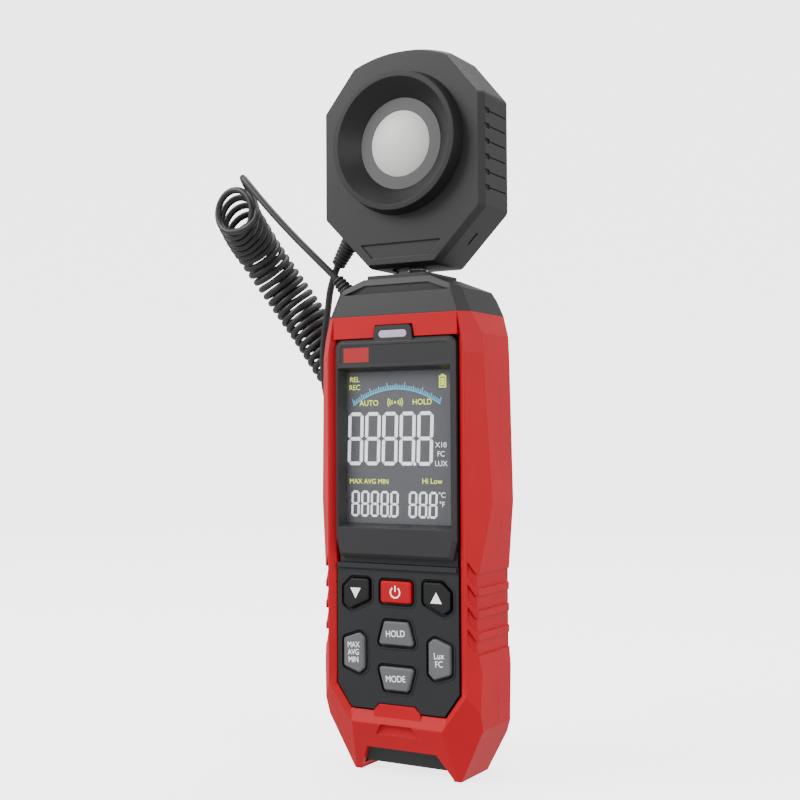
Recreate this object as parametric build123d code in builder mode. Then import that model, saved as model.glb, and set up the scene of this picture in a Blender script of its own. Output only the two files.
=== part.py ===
from build123d import *
import os
from math import pi, radians, tan

# Handheld digital light meter: a display case with its keys, a sensor head that docks and
# swivels on top of it, and a curly cord that joins the two.
# X points right, Y to the back and Z up. The origin is on the floor under the case's middle.
# Sizes are in millimetres.

os.makedirs("parts", exist_ok=True)

# ---------------------------------------------------------------- driving dimensions: case
CASE_WIDTH = 66.0  # across the hips, the widest level
CASE_TOP = 154.2  # seam between the red case and the black cap
FACE_Y = 15.8  # screen frame's face and the case's back, from the middle plane
RIDGE_Y = 15.0  # crest that runs round the front panels
PARTING_Y = 0.5  # seam between the front and rear halves
WALL = 2.0
FRONT_WALL_INNER_Y = 11.4  # inside of the front wall, behind the panels
FIT = 0.1  # gap between pieces that are fixed to each other
GAP = 0.3  # gap round a piece that moves

HIP_Z = 92.0
FOOT_INSET = 12.4  # the insets are taken from the half width at the hips
SKIRT_INSET = 3.4
SKIRT_Z = 18.0
FLARE_INSET = 2.7
FLARE_Z = 37.0
WAIST_INSET = 3.5
WAIST_LOW_Z = 42.5
WAIST_HIGH_Z = 68.0
CHEST_INSET = 2.0
CHEST_BELOW_TOP = 13.2
SHOULDER_INSET = 2.6
SHOULDER_BELOW_TOP = 7.2
NECK_INSET = 5.7

RIDGE_INSET = 6.6  # from the half width to the crest
RIDGE_CORNER_Z = 29.4  # where the crest turns in towards the bottom rim
RIM_Z = 17.2  # crest of the bottom rim
RIM_HALF = 17.8
TOE_Y = 7.8  # front of the foot at the floor
HEEL_Y = 13.7  # back of the foot at the floor
HEEL_Z = 8.0
REAR_CHAMFER = 8.3  # width of the flat bevel along the back's edges
ARCH_TOP_HALF = 13.3
ARCH_TOP_Z = 8.9
ARCH_FOOT_HALF = 17.9
BASE_LOW_Z = 3.0  # black plug that closes the case's bottom, seen through the arch
BASE_TOP_Z = 12.0

GROOVE_COUNT = 4
GROOVE_PITCH = 7.2
GROOVE_HEIGHT = 4.8
GROOVE_DEPTH = 0.7
GROOVE_LOW_Z = 42.6
GROOVE_SLANT = 4.0  # how far a groove drops across the front bevel

# ---------------------------------------------------------------- driving dimensions: panels
STRIP_WIDTH = 2.5  # sloping strip between the crest and the panels
STRIP_Y = 13.4  # inner edge of the strip
PANEL_GAP = 0.6
BEZEL_TOP_BELOW = 7.8
BEZEL_LOW_Z = 73.0
BEZEL_CORNER_Z = 79.5
BEZEL_EDGE = 1.2
BEZEL_CORNER = 3.0
STEP_Y = 13.0  # dark step between the screen frame and the keypad
WINDOW_MARGIN = 0.7
LCD_MARGIN = 1.5
PLATE_CORNER = 1.2
BUMP_CORNER = 1.4
RAIL_OVERLAP = 0.9
SCREEN_LOW_Z = 84.2
SCREEN_TOP_BELOW = 18.7
SCREEN_MARGIN = 2.9  # from the frame's side to the screen opening
SCREEN_Y = 12.2  # front of the clear window
RECESS_FLARE = 1.3  # how much wider the recess is at the face
WINDOW_THICKNESS = 0.8
LCD_THICKNESS = 2.0
PLATE_LOW_BELOW = 16.3
PLATE_TOP_BELOW = 9.9
PLATE_MARGIN = 2.6
PLATE_DEPTH = 0.5
BUMP_BASE_HALF = 7.6
BUMP_TOP_HALF = 6.9
BUMP_TOP_BELOW = 3.6
PILL_HALF = 5.3
PILL_HEIGHT = 2.4
PILL_BELOW_TOP = 6.4
PANEL_FLANGE = 1.3
PANEL_FLANGE_THICKNESS = 1.0

KEYPAD_Y = 13.9
KEYPAD_LOW_Z = 22.3
KEYPAD_TOP_Z = 70.8
LIP_HEIGHT = 1.6
LIP_Y = 14.7
TAB_HALF = 8.7
TAB_TOP_HALF = 6.8
TAB_TOP_Z = 24.2
TAB_Y = 14.1
THUMB_TOP_HALF = 5.8
THUMB_LOW_HALF = 8.5
THUMB_TOP_Z = 17.6
THUMB_LOW_Z = 14.0
THUMB_FLOOR_Y = 13.4

# ---------------------------------------------------------------- driving dimensions: keys
KEY_FACE_Y = 14.9
KEY_TRAVEL = 0.6
KEY_MARGIN = 2.9  # from the keypad's side to the outer keys
KEY_CORNER = 0.9
KEY_BEVEL = 0.45
SIDE_KEY_WIDTH = 8.0
TOP_KEY_WIDTH = 9.8
POWER_HALF = 5.8
TRAPEZOID_WIDE = 6.7
TRAPEZOID_NARROW = 4.5
RECESS_MARGIN = 1.1
RECESS_DEPTH = 0.9
RIM_WIDTH = 0.45
RIM_HEIGHT = 0.2
KEY_FLANGE = 0.8
KEY_FLANGE_THICKNESS = 0.8
KEY_STEM_RADIUS = 1.5
SWITCH_RADIUS = 2.5
SWITCH_HEIGHT = 0.7

# ---------------------------------------------------------------- driving dimensions: inside
PCB_FRONT_Y = 7.2
PCB_THICKNESS = 1.6
PCB_SIDE_CLEARANCE = 8.5
PCB_LOW_Z = 24.0
PCB_TOP_BELOW = 3.7
CHIPS = (  # x, z, half size and height of the parts on the board's back
    (0, 112, 5.0, 1.4),
    (-13, 104, 2.5, 1.2),
    (13, 118, 2.0, 2.6),
    (-14, 122, 3.0, 1.6),
    (9, 88, 1.5, 1.2),
)
BUZZER_PLACE = (-10.0, 88.0)
BUZZER_RADIUS = 6.0
BUZZER_HEIGHT = 4.5
LED_HALF = 1.6
LED_HEIGHT = 2.0
LED_DEPTH = 2.0
BOSS_X = 20.0
BOSS_LOW_Z = 77.5
BOSS_TOP_BELOW = 12.7
BOSS_RADIUS = 3.0
SHOULDER_RADIUS = 4.0
SCREW_RADIUS = 1.4
SCREW_HEAD_RADIUS = 2.7
SCREW_HEAD_HEIGHT = 2.0
SCREW_SEAT_Y = 11.0
SCREW_TIP_Y = -6.0
SCREW_HOLE_GAP = 0.08

CELL_RADIUS = 5.25
CELL_LENGTH = 44.5
CELL_SPACING = 0.7  # between neighbouring cells
CELL_COUNT = 3
CELL_Y = 7.9
CELL_LOW_Z = 24.4
NUB_RADIUS = 2.6
NUB_HEIGHT = 0.8
CONTACT_THICKNESS = 0.4
SPRING_LENGTH = 2.0
SPRING_RADIUS = 2.8
SPRING_WIRE = 0.35
TRAY_WALL = 1.2
TRAY_FRONT_Y = 1.2
TRAY_END_GAP = 0.1
DOOR_THICKNESS = 2.0
DOOR_TAB = 6.4  # strip of the door below the tray, which takes its screw
DOOR_LEDGE = 1.2  # width of the ledge that the door closes on
DOOR_CORNER = 1.5
DOOR_SCREW_HEAD = 1.4
LUG_HALF = 6.0
DOOR_GROOVES = 5
DOOR_GROOVE_PITCH = 2.4
DOOR_GROOVE_HALF = 9.0
DOOR_SCREW_LENGTH = 6.0

# ---------------------------------------------------------------- driving dimensions: cap
# Rises are measured up from the seam at CASE_TOP, insets in from the half width at the hips.
CAP_SHOULDER_INSET = 9.3
CAP_SHOULDER_RISE = 8.2
CAP_CREST_INSET = 20.1
CAP_CREST_RISE = 12.6
CAP_LEAN = 0.12  # how far the cap's face leans back for each millimetre up
CAP_CREST_LEAN = 0.30
CAP_REAR_LEAN = 0.55
CAP_EDGE_LEAN = 0.5
PLATFORM_HALF = 12.0
PLATFORM_FRONT_Y = 12.7
PLATFORM_REAR_Y = 8.8
PLATFORM_RISE = 13.8
PLATFORM_CORNER = 1.2
TONGUE_DEPTH = 3.6
TONGUE_WALL = 1.5
TONGUE_ROOT = 1.4
CAP_GROOVE_Y = 12.9
CAP_GROOVE_LOW_RISE = 7.5
CAP_GROOVE_TOP_RISE = 10.4
CAP_GROOVE_LOW_INSET = 12.8
CAP_GROOVE_TOP_INSET = 20.7

# ---------------------------------------------------------------- driving dimensions: head
# Heights are measured up from the head's underside.
HEAD_GAP = 2.9  # between the cap's platform and the head
HEAD_HEIGHT = 74.1
HEAD_HALF = 30.8
HEAD_SIDE_LOW = 17.7
HEAD_SIDE_TOP = 55.7
HEAD_BOTTOM_HALF = 13.3
HEAD_TOP_HALF = 18.7
HEAD_TOP_CORNER = 70.3
HEAD_CORNER_RADIUS = 2.5  # more than the back bevel, so that the bevel keeps a width at the corners
HEAD_FRONT_Y = 10.3
HEAD_BACK_Y = 11.0
HEAD_FRONT_BEVEL = 1.1  # across the face
HEAD_SIDE_BEVEL = 3.3  # along the sides
HEAD_BACK_BEVEL = 1.5
HEAD_WALL = 2.0
RIB_COUNT = 6
RIB_PITCH = 5.1
RIB_LOW = 24.4
RIB_SLOT_HEIGHT = 1.8
RIB_SLOT_LENGTH = 3.3
RIB_LINE_HEIGHT = 0.5
RIB_LINE_LENGTH = 12.0
RIB_FRONT_Y = -7.3
RIB_DEPTH = 0.6
SNAP_LENGTH = 5.0  # short slots across the parting line, one on each slope of the head's underside
SNAP_HEIGHT = 1.2
SNAP_DEPTH = 0.8
SNAP_TILT = -45.3
CHIN_LOW = 3.3  # shallow panel low on the head's face
CHIN_TOP = 8.2
CHIN_LOW_HALF = 11.2
CHIN_TOP_HALF = 15.6
CHIN_DEPTH = 0.6

SENSOR_HEIGHT = 41.8
HOOD_BASE_RADIUS = 24.4
HOOD_RADIUS = 23.35
HOOD_LIP_RADIUS = 21.55
HOOD_LIP_Y = 15.3
HOOD_FLOOR_Y = 9.65
HOOD_NECK_WALL = 1.75
HOOD_NECK_Y = 8.3
DOME_RADIUS = 11.25
DOME_RISE = 3.2
DOME_WALL = 1.2
DOME_FLANGE_WIDTH = 1.75
SEAT_WIDTH = 4.4  # grey ring round the dome, out to the hood
DOME_FLANGE_THICKNESS = 1.0
CARRIER_INSET = 0.4
CARRIER_THICKNESS = 5.0
APERTURE_RADIUS = 5.4
APERTURE_THICKNESS = 1.1
FILTER_RADIUS = 6.0
FILTER_THICKNESS = 1.4
PHOTODIODE_RADIUS = 4.4
SENSOR_PCB_HALF = 16.0
SENSOR_PCB_THICKNESS = 1.6
HEAD_SCREW_LOW = (23.5, 22.6)
HEAD_SCREW_HIGH = (15.5, 64.4)
HEAD_SCREW_SEAT_Y = 6.0

SWIVEL_Y = 2.0
POST_RADIUS = 3.0
POST_DEPTH = 11.0  # how far the post goes into the cap's socket
POST_BEVEL = 0.6
SWIVEL_SHAFT_RADIUS = 2.4
RUNNING_FIT = 0.05
SOCKET_WALL = 1.4
SOCKET_FLANGE_WIDTH = 1.2
SOCKET_FLANGE_THICKNESS = 1.5
SOCKET_FLOOR = 1.0
WASHER_THICKNESS = 0.25
WASHER_OVERHANG = 0.6
SWIVEL_BOSS_RADIUS = 6.0
SWIVEL_BOSS_HEIGHT = 4.0
CLIP_THICKNESS = 0.8
CLIP_WIDTH = 1.8
CLIP_GROOVE_DEPTH = 0.5
SHAFT_END = 1.6  # length of the shaft past its clip
STOP_PIN_X = -8.2
STOP_PIN_RADIUS = 0.5
STOP_PIN_ROOT = 2.0
STOP_PIN_TIP = 0.8  # how far the pin reaches into the head's groove
STOP_GROOVE_DEPTH = 1.1

# ---------------------------------------------------------------- driving dimensions: cord
CORD_RADIUS = 1.25
COIL_RADIUS = 8.5
GLAND_ROOT = 3.0  # how far a strain relief's cone runs on into its housing before it is trimmed
GLAND_RING = 0.5
GLAND_MOUTH = 0.3  # gap between a strain relief's end and the cord that runs out of it
BODY_GLAND_RINGS = 6
BODY_GLAND_RADII = (2.7, 1.7)
HEAD_GLAND_RINGS = 8
HEAD_GLAND_RADII = (2.9, 2.0)
BODY_GLAND_BASE = (-24.2, -1.5, 162.0)
BODY_GLAND_TIP = (-30.3, -3.0, 169.5)
HEAD_GLAND_BASE = (-26.4, 1.4, 184.0)
HEAD_GLAND_TIP = (-33.7, 3.0, 174.8)

# From the body's strain relief up to the fold, round it and down into the coil.
RUN_ROUTE = (
    BODY_GLAND_TIP,
    (-36.8, -3.9, 175.8),
    (-47.7, -4.0, 185.7),
    (-59.5, -4.3, 197.5),
    (-68.0, -4.0, 206.6),
    (-71.4, -3.2, 209.9),
    (-74.0, 0.2, 210.4),
    (-73.4, 2.6, 206.8),
    (-69.2, 1.8, 200.4),
    (-66.2, -1.0, 194.6),
    (-69.6, -3.2, 190.6),
    (-76.5, -1.0, 192.4),
)
# Down the middle of the coil.
COIL_ROUTE = (
    (-77.0, -2.0, 198.8),
    (-81.0, 14.0, 190.0),
    (-73.9, 27.5, 170.7),
    (-60.2, 33.6, 149.0),
    (-41.0, 36.3, 119.0),
)
# From the head's strain relief down behind the case and up into the coil's other end.
TAIL_ROUTE = (
    HEAD_GLAND_TIP,
    (-38.4, 5.4, 168.4),
    (-42.7, 10.4, 161.0),
    (-47.5, 15.2, 152.3),
    (-50.5, 18.0, 141.0),
    (-49.8, 19.2, 128.5),
    (-45.5, 20.0, 116.5),
    (-39.8, 22.4, 107.2),
    (-35.4, 28.4, 103.3),
    (-35.4, 35.0, 107.4),
    (-38.8, 36.3, 115.6),
    (-42.4, 36.0, 121.6),
)

# ---------------------------------------------------------------- worked-out sizes
HALF = CASE_WIDTH / 2
RIDGE_HALF = HALF - RIDGE_INSET
OPENING_HALF = RIDGE_HALF - STRIP_WIDTH
PANEL_HALF = OPENING_HALF - PANEL_GAP
BEZEL_TOP_Z = CASE_TOP - BEZEL_TOP_BELOW
SCREEN_HALF = PANEL_HALF - SCREEN_MARGIN
SCREEN_TOP_Z = CASE_TOP - SCREEN_TOP_BELOW
SCREEN_MID_Z = (SCREEN_LOW_Z + SCREEN_TOP_Z) / 2
SCREEN_HEIGHT = SCREEN_TOP_Z - SCREEN_LOW_Z
PILL_Z = CASE_TOP - PILL_BELOW_TOP
PCB_HALF = HALF - PCB_SIDE_CLEARANCE
PCB_REAR_Y = -PCB_FRONT_Y + PCB_THICKNESS
BOSS_TOP_Z = CASE_TOP - BOSS_TOP_BELOW
REAR_EDGE_HALF = HALF - REAR_CHAMFER
REAR_WALL_INNER_Y = FACE_Y - WALL
PLATFORM_Z = CASE_TOP + PLATFORM_RISE
HEAD_BOTTOM_Z = PLATFORM_Z + HEAD_GAP
SENSOR_Z = HEAD_BOTTOM_Z + SENSOR_HEIGHT
KEY_OUTER = PANEL_HALF - KEY_MARGIN
SIDE_KEY_INNER = KEY_OUTER - SIDE_KEY_WIDTH
TOP_KEY_INNER = KEY_OUTER - TOP_KEY_WIDTH
RECESS_Y = KEYPAD_Y - RECESS_DEPTH
KEY_FLANGE_Y = FRONT_WALL_INNER_Y - FIT
STEM_END_Y = PCB_FRONT_Y + SWITCH_HEIGHT + KEY_TRAVEL + FIT
CELL_PITCH = 2 * CELL_RADIUS + CELL_SPACING
TRAY_HALF = CELL_PITCH * (CELL_COUNT - 1) / 2 + CELL_RADIUS + TRAY_WALL + GAP
TRAY_LOW_Z = CELL_LOW_Z - SPRING_LENGTH - CONTACT_THICKNESS - TRAY_WALL
TRAY_TOP_Z = CELL_LOW_Z + CELL_LENGTH + CONTACT_THICKNESS + TRAY_END_GAP + TRAY_WALL
DOOR_HALF = TRAY_HALF + 1.0
DOOR_LOW_Z = TRAY_LOW_Z - DOOR_TAB
DOOR_TOP_Z = TRAY_TOP_Z + 1.0
DOOR_SCREW_Z = DOOR_LOW_Z + DOOR_TAB / 2
DOME_FLANGE_RADIUS = DOME_RADIUS + DOME_FLANGE_WIDTH
HOOD_FLOOR_RADIUS = DOME_RADIUS + SEAT_WIDTH
HOOD_NECK_RADIUS = HOOD_FLOOR_RADIUS + HOOD_NECK_WALL
CARRIER_RADIUS = HOOD_NECK_RADIUS - CARRIER_INSET
SOCKET_RADIUS = POST_RADIUS + SOCKET_WALL
SOCKET_FLANGE_RADIUS = SOCKET_RADIUS + SOCKET_FLANGE_WIDTH
CLIP_RADIUS = SWIVEL_SHAFT_RADIUS + CLIP_WIDTH
WASHER_RADIUS = POST_RADIUS + WASHER_OVERHANG
CLIP_Z = HEAD_BOTTOM_Z + SWIVEL_BOSS_HEIGHT + FIT
SHAFT_TOP_Z = CLIP_Z + CLIP_THICKNESS + SHAFT_END
POST_BOTTOM_Z = PLATFORM_Z - POST_DEPTH


def facing(y):
    """Plane parallel to the front at depth y, whose normal points to the front."""
    return Plane.XZ.offset(-y)


def mirrored(points):
    """Closed outline from its right half, listed upwards, and the same points on the left."""
    return points + [(-x, z) for x, z in reversed(points)]


def mirror_x(points):
    """Outline on the left that matches one on the right."""
    return [(-x, z) for x, z in points]


def prism(points, front_y, back_y, rounding=0.0):
    """Flat outline in the front view, carried from front_y back to back_y."""
    with BuildPart() as body:
        with BuildSketch(facing(back_y)) as outline:
            with BuildLine():
                Polyline(*points, close=True)
            make_face()
            if rounding > 0:
                fillet(outline.vertices(), rounding)
        extrude(amount=back_y - front_y)
    return body.part


def slab(half, low_z, top_z, front_y, back_y, centre_x=0.0):
    """Plain block given by its front view and its depth."""
    corners = [(centre_x + half, low_z), (centre_x + half, top_z)]
    corners += [(centre_x - half, top_z), (centre_x - half, low_z)]
    return prism(corners, front_y, back_y)


def post(radius, bottom_z, top_z):
    """Round upright piece on the swivel's axis."""
    with BuildPart(Plane((0, SWIVEL_Y, bottom_z))) as body:
        Cylinder(radius, top_z - bottom_z, align=(Align.CENTER, Align.CENTER, Align.MIN))
    return body.part


def disc(x, z, radius, front_y, back_y):
    """Round piece whose axis runs front to back."""
    with BuildPart() as body:
        with BuildSketch(facing(back_y)):
            with Locations((x, z)):
                Circle(radius)
        extrude(amount=back_y - front_y)
    return body.part


def save(piece, name):
    """Label a finished piece and write it as its own sub-part."""
    piece.label = name
    export_step(piece, f"parts/{name}.step")


# ---------------------------------------------------------------- case
def side_profile(extra_top):
    """Right half of the case's front view, from the foot up, run past the top by extra_top."""
    shoulder = (HALF - SHOULDER_INSET, CASE_TOP - SHOULDER_BELOW_TOP)
    neck = (HALF - NECK_INSET, CASE_TOP)
    slope = (neck[0] - shoulder[0]) / (neck[1] - shoulder[1])
    return [
        (HALF - FOOT_INSET, 0.0),
        (HALF - SKIRT_INSET, SKIRT_Z),
        (HALF - FLARE_INSET, FLARE_Z),
        (HALF - WAIST_INSET, WAIST_LOW_Z),
        (HALF - WAIST_INSET, WAIST_HIGH_Z),
        (HALF, HIP_Z),
        (HALF - CHEST_INSET, CASE_TOP - CHEST_BELOW_TOP),
        shoulder,
        (neck[0] + slope * extra_top, CASE_TOP + extra_top),
    ]


def case_facets():
    """Planes of the case's bevels, with their normals pointing out."""
    planes = []
    for side in (-1, 1):
        crest = (side * RIDGE_HALF, -RIDGE_Y, HIP_Z)
        planes.append(Plane(crest, z_dir=(side, -1, 0)))
        upper = (side * (RIDGE_HALF - 0.4), -RIDGE_Y, CASE_TOP - SHOULDER_BELOW_TOP - 4)
        planes.append(Plane(upper, z_dir=(side, -1, 0.17)))
        corner = (side * RIDGE_HALF, -RIDGE_Y, RIDGE_CORNER_Z)
        planes.append(Plane(corner, z_dir=(side * 0.397, -0.866, -0.302)))
        rear = (side * REAR_EDGE_HALF, FACE_Y, HIP_Z)
        planes.append(Plane(rear, z_dir=(side, 1, 0)))
        rear_corner = (side * REAR_EDGE_HALF, FACE_Y, RIM_Z)
        planes.append(Plane(rear_corner, z_dir=(side * 0.397, 0.866, -0.302)))
    toe_slope = (RIDGE_Y - TOE_Y) / RIM_Z
    planes.append(Plane((0, -RIDGE_Y, RIM_Z), z_dir=(0, -1, -toe_slope)))
    heel_slope = (FACE_Y - HEEL_Y) / HEEL_Z
    planes.append(Plane((0, FACE_Y, HEEL_Z), z_dir=(0, 1, -heel_slope)))
    return planes


def case_block(inset, front_y, back_y, extra_top=0.0):
    """Solid of the case's outer shape, drawn in by inset on its sides and bevels."""
    with BuildPart() as block:
        with BuildSketch(facing(back_y)):
            with BuildLine():
                Polyline(*mirrored(side_profile(extra_top)), close=True)
            make_face()
            if inset > 0:
                offset(amount=-inset, kind=Kind.INTERSECTION)
        extrude(amount=back_y - front_y)
        for facet in case_facets():
            split(bisect_by=facet.offset(-inset), keep=Keep.BOTTOM)
    return block.part


def case_band(inset, low_z, top_z, front_y=-RIDGE_Y):
    """Level slice of the case's shape, drawn in by inset."""
    with BuildPart() as band:
        add(case_block(inset, front_y, FACE_Y - inset, 5.0))
        split(bisect_by=Plane.XY.offset(top_z), keep=Keep.BOTTOM)
        split(bisect_by=Plane.XY.offset(low_z), keep=Keep.TOP)
    return band.part


def grip_cutter():
    """The grip's shallow grooves, which wrap the sides and drop across the front bevels."""
    with BuildPart() as cutter:
        for side in (-1, 1):
            for index in range(GROOVE_COUNT):
                low = GROOVE_LOW_Z + index * GROOVE_PITCH
                side_x = HALF - WAIST_INSET - GROOVE_DEPTH
                inner_x = RIDGE_HALF + 0.4
                points = [
                    (side * (HALF + 2), low),
                    (side * (HALF + 2), low + GROOVE_HEIGHT),
                    (side * side_x, low + GROOVE_HEIGHT),
                    (side * inner_x, low + GROOVE_HEIGHT + GROOVE_SLANT),
                    (side * inner_x, low + GROOVE_SLANT),
                    (side * side_x, low),
                ]
                add(prism(points, -RIDGE_Y - 1, REAR_WALL_INNER_Y - WALL))
        add(case_block(GROOVE_DEPTH, -FACE_Y, FACE_Y), mode=Mode.SUBTRACT)
    return cutter.part


def case_shell():
    """Hollow red case with its front opening, arch and grip, before it is split in two."""
    arch = mirrored([(ARCH_FOOT_HALF, -1.0), (ARCH_FOOT_HALF, 0.8), (ARCH_TOP_HALF, ARCH_TOP_Z)])
    bezel_top = BEZEL_TOP_Z + PANEL_GAP / 2
    rim_z = KEYPAD_LOW_Z - PANEL_GAP
    opening = mirrored(
        [
            (RIM_HALF + 0.3, rim_z),
            (OPENING_HALF, RIDGE_CORNER_Z + 0.1),
            (OPENING_HALF, bezel_top),
        ]
    )
    bump = mirrored(
        [
            (BUMP_BASE_HALF + PANEL_GAP / 2, bezel_top - 1),
            (BUMP_BASE_HALF + PANEL_GAP / 2, bezel_top),
            (BUMP_TOP_HALF + PANEL_GAP / 2, CASE_TOP - BUMP_TOP_BELOW + PANEL_GAP / 2),
        ]
    )
    with BuildPart() as shell:
        add(case_block(0, -RIDGE_Y, FACE_Y))
        add(case_block(WALL, -FRONT_WALL_INNER_Y, REAR_WALL_INNER_Y, 5.0), mode=Mode.SUBTRACT)
        add(prism(arch, -FACE_Y - 1, FACE_Y + 1), mode=Mode.SUBTRACT)
        add(prism(opening, -FACE_Y - 1, -PARTING_Y - 5), mode=Mode.SUBTRACT)
        add(prism(bump, -FACE_Y - 1, -PARTING_Y - 5), mode=Mode.SUBTRACT)
        add(grip_cutter(), mode=Mode.SUBTRACT)
    return shell.part


def strip_slope():
    """Cutter for the strip that slopes from the crest in to the panels."""
    top_z = BEZEL_TOP_Z + PANEL_GAP / 2
    upper_z = CASE_TOP - SHOULDER_BELOW_TOP - 4
    crest = [
        (RIM_HALF - 0.2, RIM_Z + 0.4),
        (RIDGE_HALF - 0.3, RIDGE_CORNER_Z + 0.2),
        (RIDGE_HALF - 0.5, upper_z),
        (RIDGE_HALF - 1.1, top_z),
    ]
    inner = [
        (RIM_HALF + 0.3, KEYPAD_LOW_Z - PANEL_GAP),
        (OPENING_HALF, RIDGE_CORNER_Z + 0.4),
        (OPENING_HALF, upper_z),
        (OPENING_HALF, top_z),
    ]
    with BuildPart() as cutter:
        for y, points in ((-RIDGE_Y - 0.02, crest), (-STRIP_Y, inner)):
            with BuildSketch(facing(y)):
                with BuildLine():
                    Polyline(*mirrored(points), close=True)
                make_face()
        loft(ruled=True)
    return cutter.part


def strip_end(side):
    """Cutter for the strip's narrow end, which tapers out above the screen frame."""
    low_z = BEZEL_TOP_Z + PANEL_GAP / 2 - 0.01
    high_z = CASE_TOP - 0.6
    with BuildPart() as cutter:
        for z, crest, inner, depth in (
            (low_z, RIDGE_HALF - 1.1, OPENING_HALF, STRIP_Y),
            (high_z, RIDGE_HALF - 2.35, OPENING_HALF - 0.05, RIDGE_Y - 0.15),
        ):
            with BuildSketch(Plane.XY.offset(z)):
                with BuildLine():
                    Polyline(
                        (side * crest, -RIDGE_Y - 0.02),
                        (side * inner, -RIDGE_Y - 0.02),
                        (side * inner, -depth),
                        close=True,
                    )
                make_face()
        loft(ruled=True)
    return cutter.part


SHELL = case_shell()

with BuildPart() as front_case:
    add(SHELL)
    add(strip_slope(), mode=Mode.SUBTRACT)
    for side in (-1, 1):
        add(strip_end(side), mode=Mode.SUBTRACT)
    tab = mirrored([(TAB_HALF + 0.2, RIM_Z + 1), (TAB_HALF, KEYPAD_LOW_Z), (TAB_TOP_HALF, TAB_TOP_Z)])
    add(prism(tab, -TAB_Y, -FRONT_WALL_INNER_Y))
    thumb = mirrored([(THUMB_LOW_HALF, THUMB_LOW_Z), (THUMB_TOP_HALF, THUMB_TOP_Z)])
    add(prism(thumb, -RIDGE_Y - 1, -THUMB_FLOOR_Y), mode=Mode.SUBTRACT)
    split(bisect_by=facing(PARTING_Y), keep=Keep.TOP)
save(front_case.part, "front_case")

case_screw_places = [(x, z) for x in (-BOSS_X, BOSS_X) for z in (BOSS_LOW_Z, BOSS_TOP_Z)]
door_opening = mirrored([(DOOR_HALF + GAP, DOOR_LOW_Z - GAP), (DOOR_HALF + GAP, DOOR_TOP_Z + GAP)])
tray_opening = mirrored([(TRAY_HALF + FIT, TRAY_LOW_Z - DOOR_TAB + 1), (TRAY_HALF + FIT, TRAY_TOP_Z + FIT)])
tray_outer = mirrored([(TRAY_HALF, TRAY_LOW_Z), (TRAY_HALF, TRAY_TOP_Z)])
tray_inner = mirrored(
    [(TRAY_HALF - TRAY_WALL, TRAY_LOW_Z + TRAY_WALL), (TRAY_HALF - TRAY_WALL, TRAY_TOP_Z - TRAY_WALL)]
)

with BuildPart() as rear_case:
    add(SHELL)
    split(bisect_by=facing(PARTING_Y), keep=Keep.BOTTOM)
    ledge = mirrored(
        [
            (DOOR_HALF + DOOR_LEDGE + GAP, DOOR_LOW_Z - DOOR_LEDGE - GAP),
            (DOOR_HALF + DOOR_LEDGE + GAP, DOOR_TOP_Z + DOOR_LEDGE + GAP),
        ]
    )
    add(prism(ledge, REAR_WALL_INNER_Y - DOOR_THICKNESS, REAR_WALL_INNER_Y))
    add(prism(door_opening, FACE_Y - DOOR_THICKNESS - FIT, FACE_Y + 1), mode=Mode.SUBTRACT)
    add(prism(tray_opening, 0, FACE_Y + 1), mode=Mode.SUBTRACT)
    for x, z in case_screw_places:
        add(disc(x, z, BOSS_RADIUS + 1, PARTING_Y, REAR_WALL_INNER_Y))
    for x, z in case_screw_places:
        add(disc(x, z, SCREW_HEAD_RADIUS + GAP, SCREW_SEAT_Y, FACE_Y + 1), mode=Mode.SUBTRACT)
        add(disc(x, z, SCREW_RADIUS + SCREW_HOLE_GAP, 0, FACE_Y + 1), mode=Mode.SUBTRACT)
save(rear_case.part, "rear_case")

with BuildPart() as base_plug:
    add(case_band(WALL + FIT, BASE_LOW_Z, BASE_TOP_Z))
    add(case_band(2 * WALL, BASE_LOW_Z + WALL, BASE_TOP_Z + 1), mode=Mode.SUBTRACT)
save(base_plug.part, "base_plug")


# ---------------------------------------------------------------- screen
def pill(grow, front_y, back_y):
    """Rounded bar of the indicator above the screen, grown on all sides."""
    with BuildPart() as body:
        with BuildSketch(facing(back_y)):
            with Locations((0, PILL_Z)):
                SlotOverall(2 * (PILL_HALF + grow), PILL_HEIGHT + 2 * grow)
        extrude(amount=back_y - front_y)
    return body.part


def screen_slab(grow, front_y, back_y):
    """Block as large as the screen opening, grown on all sides."""
    return slab(SCREEN_HALF + grow, SCREEN_LOW_Z - grow, SCREEN_TOP_Z + grow, front_y, back_y)


name_plate = mirrored(
    [
        (PANEL_HALF - PLATE_MARGIN, CASE_TOP - PLATE_LOW_BELOW),
        (PANEL_HALF - PLATE_MARGIN, CASE_TOP - PLATE_TOP_BELOW),
    ]
)

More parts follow.
